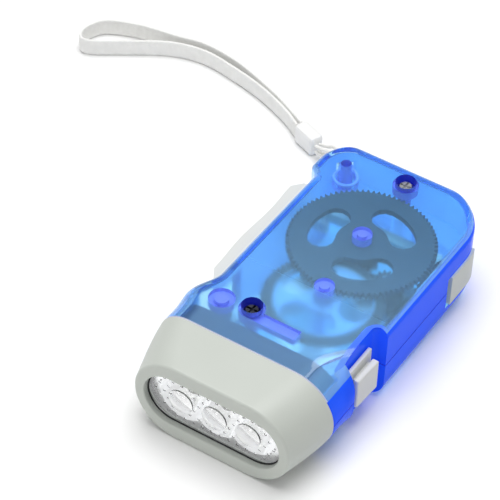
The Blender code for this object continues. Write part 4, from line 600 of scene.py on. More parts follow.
def shell_slot(centre, normal, is_outer, is_upper):
    """The plastic of a face of a shell, by its place and the way it faces."""
    rise = abs(normal.z)
    on_post = any((centre - post).to_2d().length < radius + POST_REACH for post, radius in POSTS)
    on_rib = (
        RIB_LOW.x - SINK < centre.x < RIB_HIGH.x + SINK and RIB_LOW.y - SINK < centre.y < RIB_HIGH.y + SINK
    )
    by_switch = centre.x > POCKET_X - WALL and centre.y < LOCK_END_Y
    from_screw = min((centre - screw).to_2d().length for screw in (FRONT_SCREW, TAIL_SCREW))
    if is_upper and (on_post or on_rib) and WALL + SKIN < centre.z < ROOF_Z - SKIN:
        return POST
    # The parting faces by the switch take the dark well plastic as painted shade.
    if abs(centre.z - PARTING_Z) < GAP and rise > PARTING_RISE and by_switch:
        return WELL
    if is_outer and rise < SIDE_RISE and (normal.x > SIDE_FACING or in_pocket(centre, rise)):
        return SIDE
    # The faces at the seam take a pale blue as a painted highlight.
    if centre.y < SEAM_Y + SEAM_CHAMFER:
        return EDGE
    # Upright faces near the screws take the dark well plastic as painted shade.
    if rise < BEND_RISE and from_screw < WELL_REACH:
        return WELL
    return FLAT if rise > FLAT_RISE else TURN if rise > TURN_RISE else BEND if rise > BEND_RISE else UPRIGHT


def finish_shell(piece, is_upper):
    """Frosts the faces that look at another part of the piece, and gives each face its plastic."""
    mesh = piece.data
    tree = BVHTree.FromObject(piece, bpy.context.evaluated_depsgraph_get())
    for material in (blue_bend, blue_wall, blue_post, blue_seam_highlight, blue_turn, blue_well_shade, blue_side):
        mesh.materials.append(material)
    marks = mesh.attributes.new("inside", "FLOAT", "FACE")
    for face, mark in zip(mesh.polygons, marks.data):
        start = face.center + face.normal * SKIN * MM
        towards = (HOUSING_MIDDLE * MM - face.center).normalized().dot(face.normal)
        hit = tree.ray_cast(start, face.normal)[0] is not None
        centre = face.center / MM
        is_outer = in_pocket(centre, abs(face.normal.z)) or not (towards > 0 or hit)
        mark.value = 0.0 if is_outer else 1.0
        face.material_index = shell_slot(centre, face.normal, is_outer, is_upper)


def rods(*rows):
    """Upright rods of the shells' plastic, from rows of a name, a place, a radius and two heights."""
    return [rod(*row, blue_plastic) for row in rows]


FAR = 200.0
NECK_RADIUS = 1.75
PIVOT_BORE = 1.8
AXLE_BORE = 1.3
ROTOR_BORE = 1.05
SCREW_BORE = 1.15
HEAD_BORE = 2.75
HEAD_DEPTH = 3.0
STRAP_POST_TIP_RADIUS = 1.4
STRAP_POST_STEP = (18.6, 19.4)
LEVER_DOOR = (0.4, 13.6)
STEM_START = 4.0
STEM_LENGTH = 2.0
STEM_HALF_HEIGHT = 1.5
SWITCH_TRAVEL = 2.0
CATCH_DOOR_LENGTH = 2.9
STRAP_SLOT_DEPTH = 5.2
STRAP_SLOT_WIDTH = 6.6
STRAP_SLOT_LOW_Z = 12.6
STRAP_SLOT_HIGH_Z = 18.6


def screw_well(name, place):
    """The stepped hole that takes a screw's head and shank."""
    low, step, high = PARTING_Z - GAP, THICKNESS - HEAD_DEPTH, THICKNESS + OVERRUN
    profile = (
        (0, low), (SCREW_BORE, low), (SCREW_BORE, step), (HEAD_BORE, step), (HEAD_BORE, high), (0, high),
    )
    return turned(name, profile, place, blue_plastic, steps=32)


def side_openings(shell, upper):
    """Cuts the openings for the lever, its catch, the switch's stem, the lock and the strap."""
    slot_start = SWITCH_Y + STEM_START - GAP
    slot_end = SWITCH_Y + STEM_START + STEM_LENGTH + SWITCH_TRAVEL + GAP
    slot_half = STEM_HALF_HEIGHT + GAP
    left_x = RECESS_X + WALL + OVERRUN
    places = [
        (
            "lever_door",
            (-FAR, PIVOT.y + LEVER_DOOR[0], LEVER_LOW_Z - GAP),
            (left_x, PIVOT.y + LEVER_DOOR[1], LEVER_HIGH_Z + GAP),
        ),
        (
            "switch_slot",
            (POCKET_X - WALL - OVERRUN, slot_start, PARTING_Z - slot_half),
            (POCKET_X + OVERRUN, slot_end, PARTING_Z + slot_half),
        ),
        (
            "lock_window",
            (HALF_WIDTH - LOCK_THICKNESS - WALL, LOCK_Y - LOCK_TRAVEL - GAP, LOCK_LOW_Z - GAP),
            (FAR, LOCK_END_Y + GAP, LOCK_HIGH_Z + GAP),
        ),
    ]
    if upper:
        places.append((
            "strap_slot",
            (TAIL_LEFT_X - OVERRUN, TAIL_Y - STRAP_SLOT_DEPTH, STRAP_SLOT_LOW_Z),
            (TAIL_LEFT_X + STRAP_SLOT_WIDTH, TAIL_Y + OVERRUN, STRAP_SLOT_HIGH_Z),
        ))
    else:
        places.append((
            "catch_door",
            (-FAR, CATCH_Y - 2 * GAP, CATCH_LOW_Z - GAP),
            (left_x, CATCH_Y + CATCH_DOOR_LENGTH + GAP, CATCH_HIGH_Z + GAP),
        ))
    work(shell, "DIFFERENCE", [box(name, low, high, blue_plastic) for name, low, high in places])


upper_shell = housing_loft("upper_shell_fine", 0)
work(upper_shell, "DIFFERENCE", (
    housing_loft("hollow", WALL),
    box("below", (-FAR, -FAR, -FAR), (FAR, FAR, PARTING_Z + GAP / 2), blue_plastic),
))
roof = ROOF_Z + SINK
pad_low = DRIVE_TOP_Z + GAP
neck_low = PARTING_Z + GAP / 2
post_low = WALL + GAP
work(upper_shell, "UNION", rods(
    ("pivot_boss", PIVOT, BOSS_RADIUS, LEVER_HIGH_Z + GAP, roof),
    ("drive_boss", DRIVE, AXLE_BOSS_RADIUS, pad_low, roof),
    ("idler_boss", IDLER, AXLE_BOSS_RADIUS, DRIVE_TOP_Z + 2 * GAP, roof),
    ("front_pad", FRONT_SCREW, BOSS_RADIUS, pad_low, roof),
    ("front_neck", FRONT_SCREW, NECK_RADIUS, neck_low, roof),
    ("tail_pad", TAIL_SCREW, BOSS_RADIUS, pad_low, roof),
    ("tail_neck", TAIL_SCREW, NECK_RADIUS, neck_low, roof),
) + [
    turned(
        "strap_post",
        (
            (0, post_low), (STRAP_POST_RADIUS, post_low), (STRAP_POST_RADIUS, STRAP_POST_STEP[0]),
            (STRAP_POST_TIP_RADIUS, STRAP_POST_STEP[1]), (STRAP_POST_TIP_RADIUS, roof), (0, roof),
        ),
        STRAP_POST,
        blue_plastic,
    ),
    box("roof_rib", RIB_LOW, RIB_HIGH, blue_plastic),
])
bore_top = ROOF_Z - GAP / 2
work(upper_shell, "DIFFERENCE", rods(
    ("pivot_hole", PIVOT, PIVOT_BORE, LEVER_HIGH_Z, bore_top),
    ("drive_hole", DRIVE, AXLE_BORE, DRIVE_TOP_Z, bore_top),
    ("idler_hole", IDLER, AXLE_BORE, DRIVE_TOP_Z, bore_top),
) + [screw_well("front_well", FRONT_SCREW), screw_well("tail_well", TAIL_SCREW)])
side_openings(upper_shell, True)

SCREW_FOOT_RADIUS = 2.9
ROTOR_FOOT_RADIUS = 2.35
DRIVE_FOOT_Z = 7.0
IDLER_FOOT_Z = 12.5
ROTOR_FOOT_Z = 2.6
BORE_LOW_Z = 0.7
SCREW_BORE_LOW_Z = 4.7

lower_shell = housing_loft("lower_shell_fine", 0)
work(lower_shell, "DIFFERENCE", (
    housing_loft("hollow", WALL),
    box("above", (-FAR, -FAR, PARTING_Z - GAP / 2), (FAR, FAR, FAR), blue_plastic),
))
floor = WALL - SINK
screw_top = PARTING_Z - GAP / 2
work(lower_shell, "UNION", rods(
    ("pivot_foot", PIVOT, BOSS_RADIUS, floor, LEVER_LOW_Z - GAP),
    ("drive_foot", DRIVE, AXLE_BOSS_RADIUS, floor, DRIVE_FOOT_Z),
    ("idler_foot", IDLER, AXLE_BOSS_RADIUS, floor, IDLER_FOOT_Z),
    ("rotor_foot", ROTOR, ROTOR_FOOT_RADIUS, floor, ROTOR_FOOT_Z),
    ("front_foot", FRONT_SCREW, SCREW_FOOT_RADIUS, floor, screw_top),
    ("tail_foot", TAIL_SCREW, SCREW_FOOT_RADIUS, floor, screw_top),
))
work(lower_shell, "DIFFERENCE", rods(
    ("pivot_foot_hole", PIVOT, PIVOT_BORE, BORE_LOW_Z, LEVER_LOW_Z),
    ("drive_foot_hole", DRIVE, AXLE_BORE, BORE_LOW_Z, DRIVE_FOOT_Z + OVERRUN),
    ("idler_foot_hole", IDLER, AXLE_BORE, BORE_LOW_Z, IDLER_FOOT_Z + OVERRUN),
    ("rotor_foot_hole", ROTOR, ROTOR_BORE, BORE_LOW_Z, ROTOR_FOOT_Z + OVERRUN),
    ("front_foot_hole", FRONT_SCREW, SCREW_BORE, SCREW_BORE_LOW_Z, PARTING_Z + OVERRUN),
    ("tail_foot_hole", TAIL_SCREW, SCREW_BORE, SCREW_BORE_LOW_Z, PARTING_Z + OVERRUN),
))
side_openings(lower_shell, False)
lower_shell.data.materials.clear()
lower_shell.data.materials.append(blue_floor)
for shell, cad_name in ((upper_shell, "upper_shell"), (lower_shell, "lower_shell")):
    smooth(shell)
    finish_shell(shell, cad_name == "upper_shell")
    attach(shell, "housing")
    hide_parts(cad_name)

# The nose is one moulding of light warm grey plastic with a satin skin. It tapers to a rounded
# rim round the window, and its skirt slides inside the two shells and holds them together.
NOSE_Y = -47.0
FACE_HALF_WIDTH = 22.1
NOSE_EDGE_RADIUS = 0.8
WINDOW_HALF_WIDTH = 19.2
WINDOW_HALF_HEIGHT = 7.7
LENS_SEAT_DEPTH = 1.6
LENS_LIP = 0.7
SKIRT_LENGTH = 7.0
NOSE_CORNER_POINTS = 20
WINDOW_RIM = 0.35
RIM_STEPS = 4
EDGE_STEPS = 8
FLANK_STEPS = 12


def cover(name, grain, sink, share, rough, tones, bump=None, mark=None, mark_tone=None, lamps=None, **plain):
    """A material with the moulded surface. A mark gives the share of a third tone, and lamps is the
    tint of the light that passes through."""
    material, tree, shader = start_material(name, **plain)
    surface = place_group(
        tree, moulding,
        Grain_Size=grain, Sink_Size=sink, Sink_Share=share, Low_Roughness=rough[0], High_Roughness=rough[1],
    )
    tone = node(tree, "MixRGB", {0: surface["Tone"], 1: (*tones[0], 1), 2: (*tones[1], 1)})
    if mark:
        tone = node(tree, "MixRGB", {0: mark(tree), 1: tone.outputs[0], 2: (*mark_tone, 1)})
    tree.links.new(tone.outputs[0], shader.inputs["Base Color"])
    tree.links.new(surface["Roughness"], shader.inputs["Roughness"])
    if bump:
        relief = node(tree, "Bump", {"Height": surface["Height"], "Strength": bump[0], "Distance": bump[1]})
        tree.links.new(relief.outputs[0], shader.inputs["Normal"])
    if lamps:
        let_lamps_through(material, (*lamps, 1))
    return material


def skirt_mark(tree):
    """Marks the faces of the nose that lie inside the shells."""
    return node(tree, "Attribute", attribute_name="skirt").outputs["Fac"]


def grey(name, low_tone, high_tone):
    """A grey plastic. Faces marked as skirt are dark, as they lie in shade inside the shells."""
    return cover(
        name, grain=2600.0, sink=70.0, share=0.15, rough=(0.36, 0.46), tones=(low_tone, high_tone),
        bump=(0.25, 0.08 * MM), mark=skirt_mark, mark_tone=(0.03, 0.03, 0.08),
    )


grey_plastic = grey("warm_grey_plastic", (0.54, 0.572, 0.528), (0.57, 0.602, 0.558))
pale_plastic = grey("pale_grey_plastic", (0.67, 0.68, 0.66), (0.71, 0.72, 0.7))


def stadium(half_width, half_height, y, left_radius=None):
    """An upright ring with round ends, about the torch's middle."""
    radii = [half_height] * 2 + [left_radius or half_height] * 2
    return corner_ring(
        -half_width, half_width, MID_Z - half_height, MID_Z + half_height, radii, y, NOSE_CORNER_POINTS
    )


rings = []
for step in range(RIM_STEPS + 1):
    angle = math.pi / 2 * step / RIM_STEPS
    out = WINDOW_RIM * (1 - math.cos(angle))
    behind = WINDOW_RIM * (1 - math.sin(angle))
    rings.append(stadium(WINDOW_HALF_WIDTH + out, WINDOW_HALF_HEIGHT + out, NOSE_Y + behind))
for step in range(EDGE_STEPS + 1):
    angle = math.pi / 2 * step / EDGE_STEPS
    drop = NOSE_EDGE_RADIUS * (1 - math.sin(angle))
    behind = NOSE_EDGE_RADIUS * (1 - math.cos(angle))
    rings.append(stadium(FACE_HALF_WIDTH - drop, MID_Z - drop, NOSE_Y + behind))
flank_start = NOSE_Y + NOSE_EDGE_RADIUS
flank_end = SEAM_Y - GAP / 6
for step in range(1, FLANK_STEPS + 1):
    share = step / FLANK_STEPS
    swell = math.sin(math.pi / 2 * share)
    half_width = FACE_HALF_WIDTH + (HALF_WIDTH - FACE_HALF_WIDTH) * (share + swell) / 2
    left_radius = MID_Z + (SEAM_LEFT_RADIUS - MID_Z) * share
    rings.append(stadium(half_width, MID_Z, flank_start + (flank_end - flank_start) * share, left_radius))
skirt = WALL + GAP
cavity_width = WINDOW_HALF_WIDTH + LENS_LIP + GAP
cavity_height = WINDOW_HALF_HEIGHT + LENS_LIP + GAP
rings.append(stadium(HALF_WIDTH - skirt, MID_Z - skirt, flank_end, SEAM_LEFT_RADIUS - skirt))
rings.append(stadium(HALF_WIDTH - skirt, MID_Z - skirt, SEAM_Y + SKIRT_LENGTH, SEAM_LEFT_RADIUS - skirt))
rings.append(stadium(cavity_width, cavity_height, SEAM_Y + SKIRT_LENGTH))
rings.append(stadium(cavity_width, cavity_height, NOSE_Y + LENS_SEAT_DEPTH))
rings.append(stadium(WINDOW_HALF_WIDTH, WINDOW_HALF_HEIGHT, NOSE_Y + LENS_SEAT_DEPTH))
nose = loft("nose_fine", rings, grey_plastic, closed=True)
marks = nose.data.attributes.new("skirt", "FLOAT", "FACE")
for face, mark in zip(nose.data.polygons, marks.data):
    mark.value = 1.0 if face.center.y / MM > flank_end + GAP else 0.0
smooth(nose)
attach(nose, "housing")
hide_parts("nose_bezel")

# The lens is a clear plate behind the nose's rim, with a shallow dome in front of each light.
# It is moulded in polished clear plastic and held by the reflector behind it.
LENS_THICKNESS = 1.8
FACET_PITCH = 2.5
FACET_ROWS = 4
FACET_COLUMNS = 9
FACET_ROW_SHARE = 0.85
FACET_SIDES = 5
FACET_TURN = 0.6
FACET_DEPTH = 0.35
FACET_RADIUS = 1.2
FACET_END_MARGIN = 1.4
FACET_END_SLANT = 0.35
FACET_UNDER_DOME = 0.8
DOME_HEIGHT = 1.5
DOME_RADIUS = 3.5
DOME_STEP = 0.4
DOME_RINGS = 12
LIGHT_SPACING = 9.6
FACING_NOSE = Matrix.Rotation(math.pi / 2, 3, "X")
LIGHT_PLACES = [Vector((x, 0, MID_Z)) for x in (-LIGHT_SPACING, 0, LIGHT_SPACING)]
lens_y = NOSE_Y + LENS_SEAT_DEPTH + GAP

clear_plastic = cover(
    "clear_lens_plastic", grain=500.0, sink=90.0, share=0.9, rough=(0.03, 0.08),
    tones=((0.97, 0.98, 1.0), (1, 1, 1)), bump=(0.1, 0.3 * MM), lamps=(0.96, 0.97, 0.98),
    Transmission_Weight=1.0, IOR=1.49,
)
plate_width = WINDOW_HALF_WIDTH + LENS_LIP
plate_height = WINDOW_HALF_HEIGHT + LENS_LIP
lens = loft(
    "lens_fine",
    [stadium(plate_width, plate_height, y) for y in (lens_y, lens_y + LENS_THICKNESS)],
    clear_plastic,
)
ball = (DOME_RADIUS**2 + (DOME_HEIGHT - DOME_STEP) ** 2) / (2 * (DOME_HEIGHT - DOME_STEP))
edge = math.asin(DOME_RADIUS / ball)
domes = []
for place in LIGHT_PLACES:
    profile = [(0, -SINK), (DOME_RADIUS, -SINK)]
    for step in range(DOME_RINGS):
        angle = edge * (1 - step / DOME_RINGS)
        profile.append((ball * math.sin(angle), ball * math.cos(angle) - ball + DOME_HEIGHT))
    profile.append((0, DOME_HEIGHT))
    centre = place + Vector((0, lens_y, 0))
    domes.append(turned("dome", profile, centre, clear_plastic, steps=48, turn=FACING_NOSE))
work(lens, "UNION", domes)


def facet_tool(name, back_y, material):
    """Small pyramids in staggered rows, which cut facets into the back of the lens."""
    points = []
    faces = []
    sides = range(FACET_SIDES)
    for row in range(-FACET_ROWS, FACET_ROWS + 1):
        for column in range(-FACET_COLUMNS, FACET_COLUMNS + 1):
            x = (column + (row % 2) / 2) * FACET_PITCH
            z = MID_Z + row * FACET_PITCH * FACET_ROW_SHARE
            off = abs(z - MID_Z)
            widest = plate_width - FACET_END_MARGIN - off * FACET_END_SLANT
            nearest = min(math.hypot(x - light.x, z - light.z) for light in LIGHT_PLACES)
            off_plate = off > plate_height - FACET_RADIUS or abs(x) > widest
            if off_plate or nearest < DOME_RADIUS - FACET_UNDER_DOME:
                continue
            start = len(points)
            tip = start + FACET_SIDES
            for corner in sides:
                angle = FACET_TURN * (row + 2 * column) + 2 * math.pi * corner / FACET_SIDES
                across, high = FACET_RADIUS * math.cos(angle), FACET_RADIUS * math.sin(angle)
                points.append((x + across, back_y + SINK, z + high))
            points.append((x, back_y - FACET_DEPTH, z))
            faces.append([start + corner for corner in sides])
            faces += [(start + corner, tip, start + (corner + 1) % FACET_SIDES) for corner in sides]
    return solid(name, points, faces, material)


work(lens, "DIFFERENCE", [facet_tool("facets", lens_y + LENS_THICKNESS, clear_plastic)])
smooth(lens, sharp=20)
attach(lens, "housing")
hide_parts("lens")

# A thin black ring between the nose's seat and the lens is painted shadow: it stands in for the shade
# in the gap there, and shows as a dark line round the lower edge of the window.
SHADOW_RING_SHOWS = 0.35

painted_shadow_black = cover(
    "painted_shadow_black", grain=3000.0, sink=300.0, share=0.3, rough=(0.6, 0.8),
    tones=((0.02, 0.02, 0.022), (0.035, 0.035, 0.038)), Specular_IOR_Level=0.2,
)
shadow_ring_front = NOSE_Y + LENS_SEAT_DEPTH + GAP / 10
shadow_ring_back = lens_y - GAP / 10
shadow_ring_inside = (WINDOW_HALF_WIDTH - SHADOW_RING_SHOWS, WINDOW_HALF_HEIGHT - SHADOW_RING_SHOWS)
shadow_ring_outside = (plate_width, plate_height)
shadow_ring = loft("lens_shadow_ring", [
    stadium(*shadow_ring_inside, shadow_ring_front), stadium(*shadow_ring_inside, shadow_ring_back),
    stadium(*shadow_ring_outside, shadow_ring_back), stadium(*shadow_ring_outside, shadow_ring_front),
], painted_shadow_black, closed=True)
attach(shadow_ring, "housing")

# The reflector is a plastic block with three deep cups, coated with bright metal. Each cup is
# made of flat facets that spread the light, and the block holds the lens against its seat.
REFLECTOR_DEPTH = 9.0
CUP_RADIUS = 6.9
CUP_BACK_RADIUS = 2.9
CUP_RINGS = 6
CUP_SWELL = 0.6
CUP_FACETS = 18

# The coating's emission is painted light: a faint glow that brightens the cups though they are no lamp.
chrome_with_painted_glow = cover(
    "metallised_reflector", grain=1500.0, sink=300.0, share=0.6, rough=(0.2, 0.35),
    tones=((0.96, 0.97, 0.98), (1, 1, 1)), bump=(0.2, 0.2 * MM),
    Metallic=1.0, Emission_Color=(1, 1, 1, 1), Emission_Strength=0.2,
)
reflector_y = lens_y + LENS_THICKNESS + GAP
reflector = loft(
    "reflector_fine",
    [stadium(plate_width, plate_height, y) for y in (reflector_y, reflector_y + REFLECTOR_DEPTH)],
    chrome_with_painted_glow,
)
cups = []
for number, place in enumerate(LIGHT_PLACES):
    profile = [(0, -REFLECTOR_DEPTH - OVERRUN), (CUP_BACK_RADIUS, -REFLECTOR_DEPTH - OVERRUN)]
    for step in range(CUP_RINGS + 1):
        share = step / CUP_RINGS
        swell = (CUP_RADIUS - CUP_BACK_RADIUS) * share**CUP_SWELL
        profile.append((CUP_BACK_RADIUS + swell, -REFLECTOR_DEPTH * (1 - share)))
    profile += [(CUP_RADIUS, OVERRUN), (0, OVERRUN)]
    centre = place + Vector((0, reflector_y, 0))
    cups.append(turned(f"cup_{number}", profile, centre, chrome_with_painted_glow, steps=CUP_FACETS, turn=FACING_NOSE))
work(reflector, "DIFFERENCE", cups)
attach(reflector, "housing")
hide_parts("reflector")

# The three light sources are 5 mm LEDs, each clear epoxy cast over a steel frame and a yellow
# chip. Here each is given the clear epoxy all through, and it stands in its cup on the board behind.
white_epoxy = cover(
    "led_epoxy", grain=800.0, sink=200.0, share=0.8, rough=(0.02, 0.08),
    tones=((0.97, 0.97, 0.93), (1, 1, 0.98)), lamps=(0.95, 0.95, 0.92),
    Transmission_Weight=1.0, IOR=1.54,
)


def finish_nodes(material, *names):
    """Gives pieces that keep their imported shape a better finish."""
    for name in names:
        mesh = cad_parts[name].data
        mesh.materials.clear()
        mesh.materials.append(material)


finish_nodes(white_epoxy, "led_left", "led_centre", "led_right")

# The gears are moulded in dark grey plastic, with a milky web inside the idler's dark rim, and the
# train runs on steel pins. The cells are nickel plated. The front screw is given dark steel as
# painted shade for its deep well; the tail screw and the springs are bright steel.
IDLER_RIM_RADIUS = 12.6
IDLER_RIM_BLEND = 0.6

around, given, result = start_group(
    "near_an_axis",
    (
        ("Axis", "NodeSocketVector", (0, 0, 0)),
        ("None At", "NodeSocketFloat", 0.0),
        ("Full At", "NodeSocketFloat", 0.01),
    ),
    (("Mark", "NodeSocketFloat"),),
)
place = node(around, "TexCoord").outputs["Object"]
level_place = node(around, "VectorMath", {0: place, 1: (1, 1, 0)}, operation="MULTIPLY")
distance = node(around, "VectorMath", {0: level_place.outputs[0], 1: given["Axis"]}, operation="DISTANCE")
mark = node(around, "MapRange", {
    "Value": distance.outputs["Value"], "From Min": given["None At"], "From Max": given["Full At"],
})
around.links.new(mark.outputs[0], result.inputs["Mark"])


def rim_mark(tree):
    """Marks the idler's rim."""
    none_at = (IDLER_RIM_RADIUS - IDLER_RIM_BLEND) * MM
    full_at = (IDLER_RIM_RADIUS + IDLER_RIM_BLEND) * MM
    return place_group(tree, around, Axis=tuple(IDLER * MM), None_At=none_at, Full_At=full_at)["Mark"]


dark_plastic = cover(
    "dark_gear_plastic", grain=1800.0, sink=120.0, share=0.3, rough=(0.6, 0.75),
    tones=((0.055, 0.055, 0.07), (0.075, 0.075, 0.09)), bump=(0.25, 0.1 * MM), Specular_IOR_Level=0.2,
)
milky_plastic = cover(
    "milky_gear_plastic", grain=1800.0, sink=120.0, share=0.3, rough=(0.4, 0.55),
    tones=((0.5, 0.68, 0.9), (0.56, 0.73, 0.93)), mark=rim_mark, mark_tone=(0.07, 0.07, 0.08),
    lamps=(0.7, 0.72, 0.74), Transmission_Weight=0.6, IOR=1.45,
)
steel = cover(
    "bright_steel", grain=1500.0, sink=300.0, share=0.3, rough=(0.18, 0.32),
    tones=((0.55, 0.56, 0.58), (0.68, 0.69, 0.7)), Metallic=1.0,
)
nickel = cover(
    "nickel_plate", grain=900.0, sink=150.0, share=0.4, rough=(0.4, 0.55),
    tones=((0.82, 0.83, 0.86), (0.9, 0.91, 0.93)), Metallic=0.35,
)
# Painted shade: the front screw is the same steel as the tail screw, made dark for the shade in its well.
steel_painted_dark = cover(
    "steel_painted_dark_for_shade", grain=1500.0, sink=300.0, share=0.3, rough=(0.22, 0.34),
    tones=((0.06, 0.065, 0.09), (0.1, 0.105, 0.14)), Metallic=1.0,
)
finish_nodes(dark_plastic, "drive_gear", "drive_pinion", "rotor_pinion")
finish_nodes(milky_plastic, "idler_gear")
finish_nodes(nickel, "coin_cell_lower", "coin_cell_upper")
finish_nodes(steel_painted_dark, "screw_front")
finish_nodes(
    steel, "lever_pivot_pin", "drive_axle", "idler_axle", "rotor_pin", "stator_lower", "stator_upper",
    "cell_contact_bottom", "cell_contact_top", "lever_spring", "ratchet_spring", "catch_pin", "screw_tail",
)
finish_nodes(pale_plastic, "squeeze_lever")


def round_edges(piece, width, angle=35):
    """Rounds the sharp edges of a piece."""
    edge = piece.modifiers.new("rounded_edges", "BEVEL")
    edge.width = width * MM
    edge.segments = 2
    edge.limit_method = "ANGLE"
    edge.angle_limit = math.radians(angle)
    edge.harden_normals = True


round_edges(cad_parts["squeeze_lever"], width=0.3)

# The lock is a moulded plate bent round the tail corner, with a bar that reaches across the housing
# to the lever's catch. Its end is cut back so that it lies close to the corner.
packed_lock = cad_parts["lock_slider"]
lock = bpy.data.objects.new("lock_fine", packed_lock.data.copy())
lock.matrix_world = packed_lock.matrix_world
bpy.context.scene.collection.objects.link(lock)
lock_end = box("lock_end", (POCKET_X - WALL, LOCK_END_Y, 0), (FAR, FAR, THICKNESS), grey_plastic)
work(lock, "DIFFERENCE", [lock_end], "EXACT")
lock.data.materials.clear()
lock.data.materials.append(grey_plastic)
round_edges(lock, width=0.5)
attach(lock, "lock")
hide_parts("lock_slider")

# The switch is one moulding: a thin plate that slides in the pocket, a thumb block that stands off
# it on a neck, and a stem that reaches the board through the wall.
SWITCH_PLATE = 1.1
SWITCH_PLATE_LENGTH = 10.5
SWITCH_PLATE_LOW_Z = PARTING_Z - 5.5
SWITCH_PLATE_HIGH_Z = ROOF_Z - 2.5
BLOCK_START = 0.8
BLOCK_LENGTH = 9.0
BLOCK_STANDS_OFF = 0.7
BLOCK_FRONT = 2.1
BLOCK_REAR = 2.6
BLOCK_LOW_Z = PARTING_Z - 4.0
BLOCK_HIGH_Z = PARTING_Z + 5.2
NECK_INSET = 1.0
STEM_REACH = 3.1

plate_inside = POCKET_X + GAP
plate_outside = plate_inside + SWITCH_PLATE
block_y = SWITCH_Y + BLOCK_START
stem_y = SWITCH_Y + STEM_START
switch = box(
    "switch_fine",
    (plate_inside, SWITCH_Y, SWITCH_PLATE_LOW_Z),
    (plate_outside, SWITCH_Y + SWITCH_PLATE_LENGTH, SWITCH_PLATE_HIGH_Z),
    pale_plastic,
)
round_edges(switch, width=0.3)
block = prism(
    "switch_block",
    (
        (plate_outside + BLOCK_STANDS_OFF, block_y),
        (plate_outside + BLOCK_FRONT, block_y),
        (plate_outside + BLOCK_REAR, block_y + BLOCK_LENGTH),
        (plate_outside + BLOCK_STANDS_OFF, block_y + BLOCK_LENGTH),
    ),
    BLOCK_LOW_Z,
    BLOCK_HIGH_Z,
    pale_plastic,
)
round_edges(block, width=0.4)
neck = box(
    "switch_neck",
    (plate_outside - SINK, block_y + NECK_INSET, BLOCK_LOW_Z + NECK_INSET),
    (plate_outside + BLOCK_STANDS_OFF + SINK, block_y + BLOCK_LENGTH - NECK_INSET, BLOCK_HIGH_Z - NECK_INSET),
    pale_plastic,
)
stem = box(
    "switch_stem",
    (plate_inside - STEM_REACH, stem_y, PARTING_Z - STEM_HALF_HEIGHT),
    (plate_inside + SINK, stem_y + STEM_LENGTH, PARTING_Z + STEM_HALF_HEIGHT),
    pale_plastic,
)
work(switch, "UNION", (block, neck, stem), "EXACT")
smooth(switch, sharp=50)
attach(switch, "switch")
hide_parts("switch_slider")

# The generator has a copper coil on a black bobbin round a dark ferrite rotor. The switch board is
# green glass fibre with brighter copper tracks under its varnish.
copper, tree, shader = start_material("copper_wire", Metallic=1.0)
place = node(tree, "TexCoord").outputs["Object"]
turns = node(tree, "TexWave", {"Vector": place, "Scale": 900.0, "Distortion": 0.6}, bands_direction="Z")
turns = turns.outputs["Fac"]
tone = node(tree, "MixRGB", {0: turns, 1: (0.35, 0.1, 0.03, 1), 2: (0.75, 0.3, 0.12, 1)})
rough = node(tree, "MapRange", {"Value": turns, "To Min": 0.4, "To Max": 0.22})
bump = node(tree, "Bump", {"Height": turns, "Strength": 0.7, "Distance": 0.15 * MM})
tree.links.new(tone.outputs[0], shader.inputs["Base Color"])
tree.links.new(rough.outputs[0], shader.inputs["Roughness"])
tree.links.new(bump.outputs[0], shader.inputs["Normal"])
ferrite = cover(
    "dark_ferrite", grain=2600.0, sink=300.0, share=0.3, rough=(0.45, 0.65),
    tones=((0.03, 0.03, 0.035), (0.07, 0.07, 0.075)), bump=(0.4, 0.1 * MM),
)
board_green, tree, shader = start_material("green_board", Coat_Weight=0.4, Coat_Roughness=0.15)
place = node(tree, "TexCoord").outputs["Object"]
tracks = node(
    tree, "TexVoronoi", {"Vector": place, "Scale": 420.0}, feature="DISTANCE_TO_EDGE", distance="EUCLIDEAN"
)
track_mask = node(tree, "MapRange", {
    "Value": tracks.outputs["Distance"], "From Min": 0.06, "From Max": 0.1, "To Min": 1.0, "To Max": 0.0,
}).outputs[0]
tone = node(tree, "MixRGB", {0: track_mask, 1: (0.01, 0.13, 0.05, 1), 2: (0.05, 0.32, 0.12, 1)})
bump = node(tree, "Bump", {"Height": track_mask, "Strength": 0.4, "Distance": 0.05 * MM})
tree.links.new(tone.outputs[0], shader.inputs["Base Color"])
tree.links.new(bump.outputs[0], shader.inputs["Normal"])
finish_nodes(copper, "coil_winding")
finish_nodes(ferrite, "rotor_magnet")
finish_nodes(dark_plastic, "coil_bobbin")
finish_nodes(board_green, "switch_board")

# The wrist strap is a flat loop of white braided polyester. Its two ends are pressed into a small
# white sleeve, and thin cords run from the sleeve through the tail's slot and round the post.
BAND_WIDTH = 5.0
BAND_THICKNESS = 1.1
BAND_SPACING = 0.25
BAND_SIDES = 36
BAND_EDGE_POWERS = (0.45, 0.8)
BRAID_PITCH = 1.5
BRAID_SLANT = 1.2
BRAID_RELIEF = 0.07
BRAID_FADE_POWER = 0.3
BAND_ROUTE = (
    (-44.4, 63.4), (-50.5, 67.0), (-61.0, 71.3), (-72.0, 74.0), (-82.7, 75.4), (-92.8, 73.0),
    (-104.2, 65.8), (-111.0, 61.2), (-114.4, 60.2), (-116.4, 62.5), (-116.2, 66.4), (-113.2, 71.0),
    (-104.2, 74.6), (-92.8, 76.6), (-83.7, 78.2), (-71.0, 76.4), (-56.5, 71.2), (-49.5, 67.9),
    (-43.8, 64.9),
)
CORD_RADIUS = 0.5
CORD_SPACING = 0.3
CORD_SIDES = 12
CORD_TWIST = 2.4
CORD_GROOVE = 0.14
BLUE_LIGHT_FULL = 5.0
BLUE_LIGHT_END = 7.0
CURVE_STEPS = 60
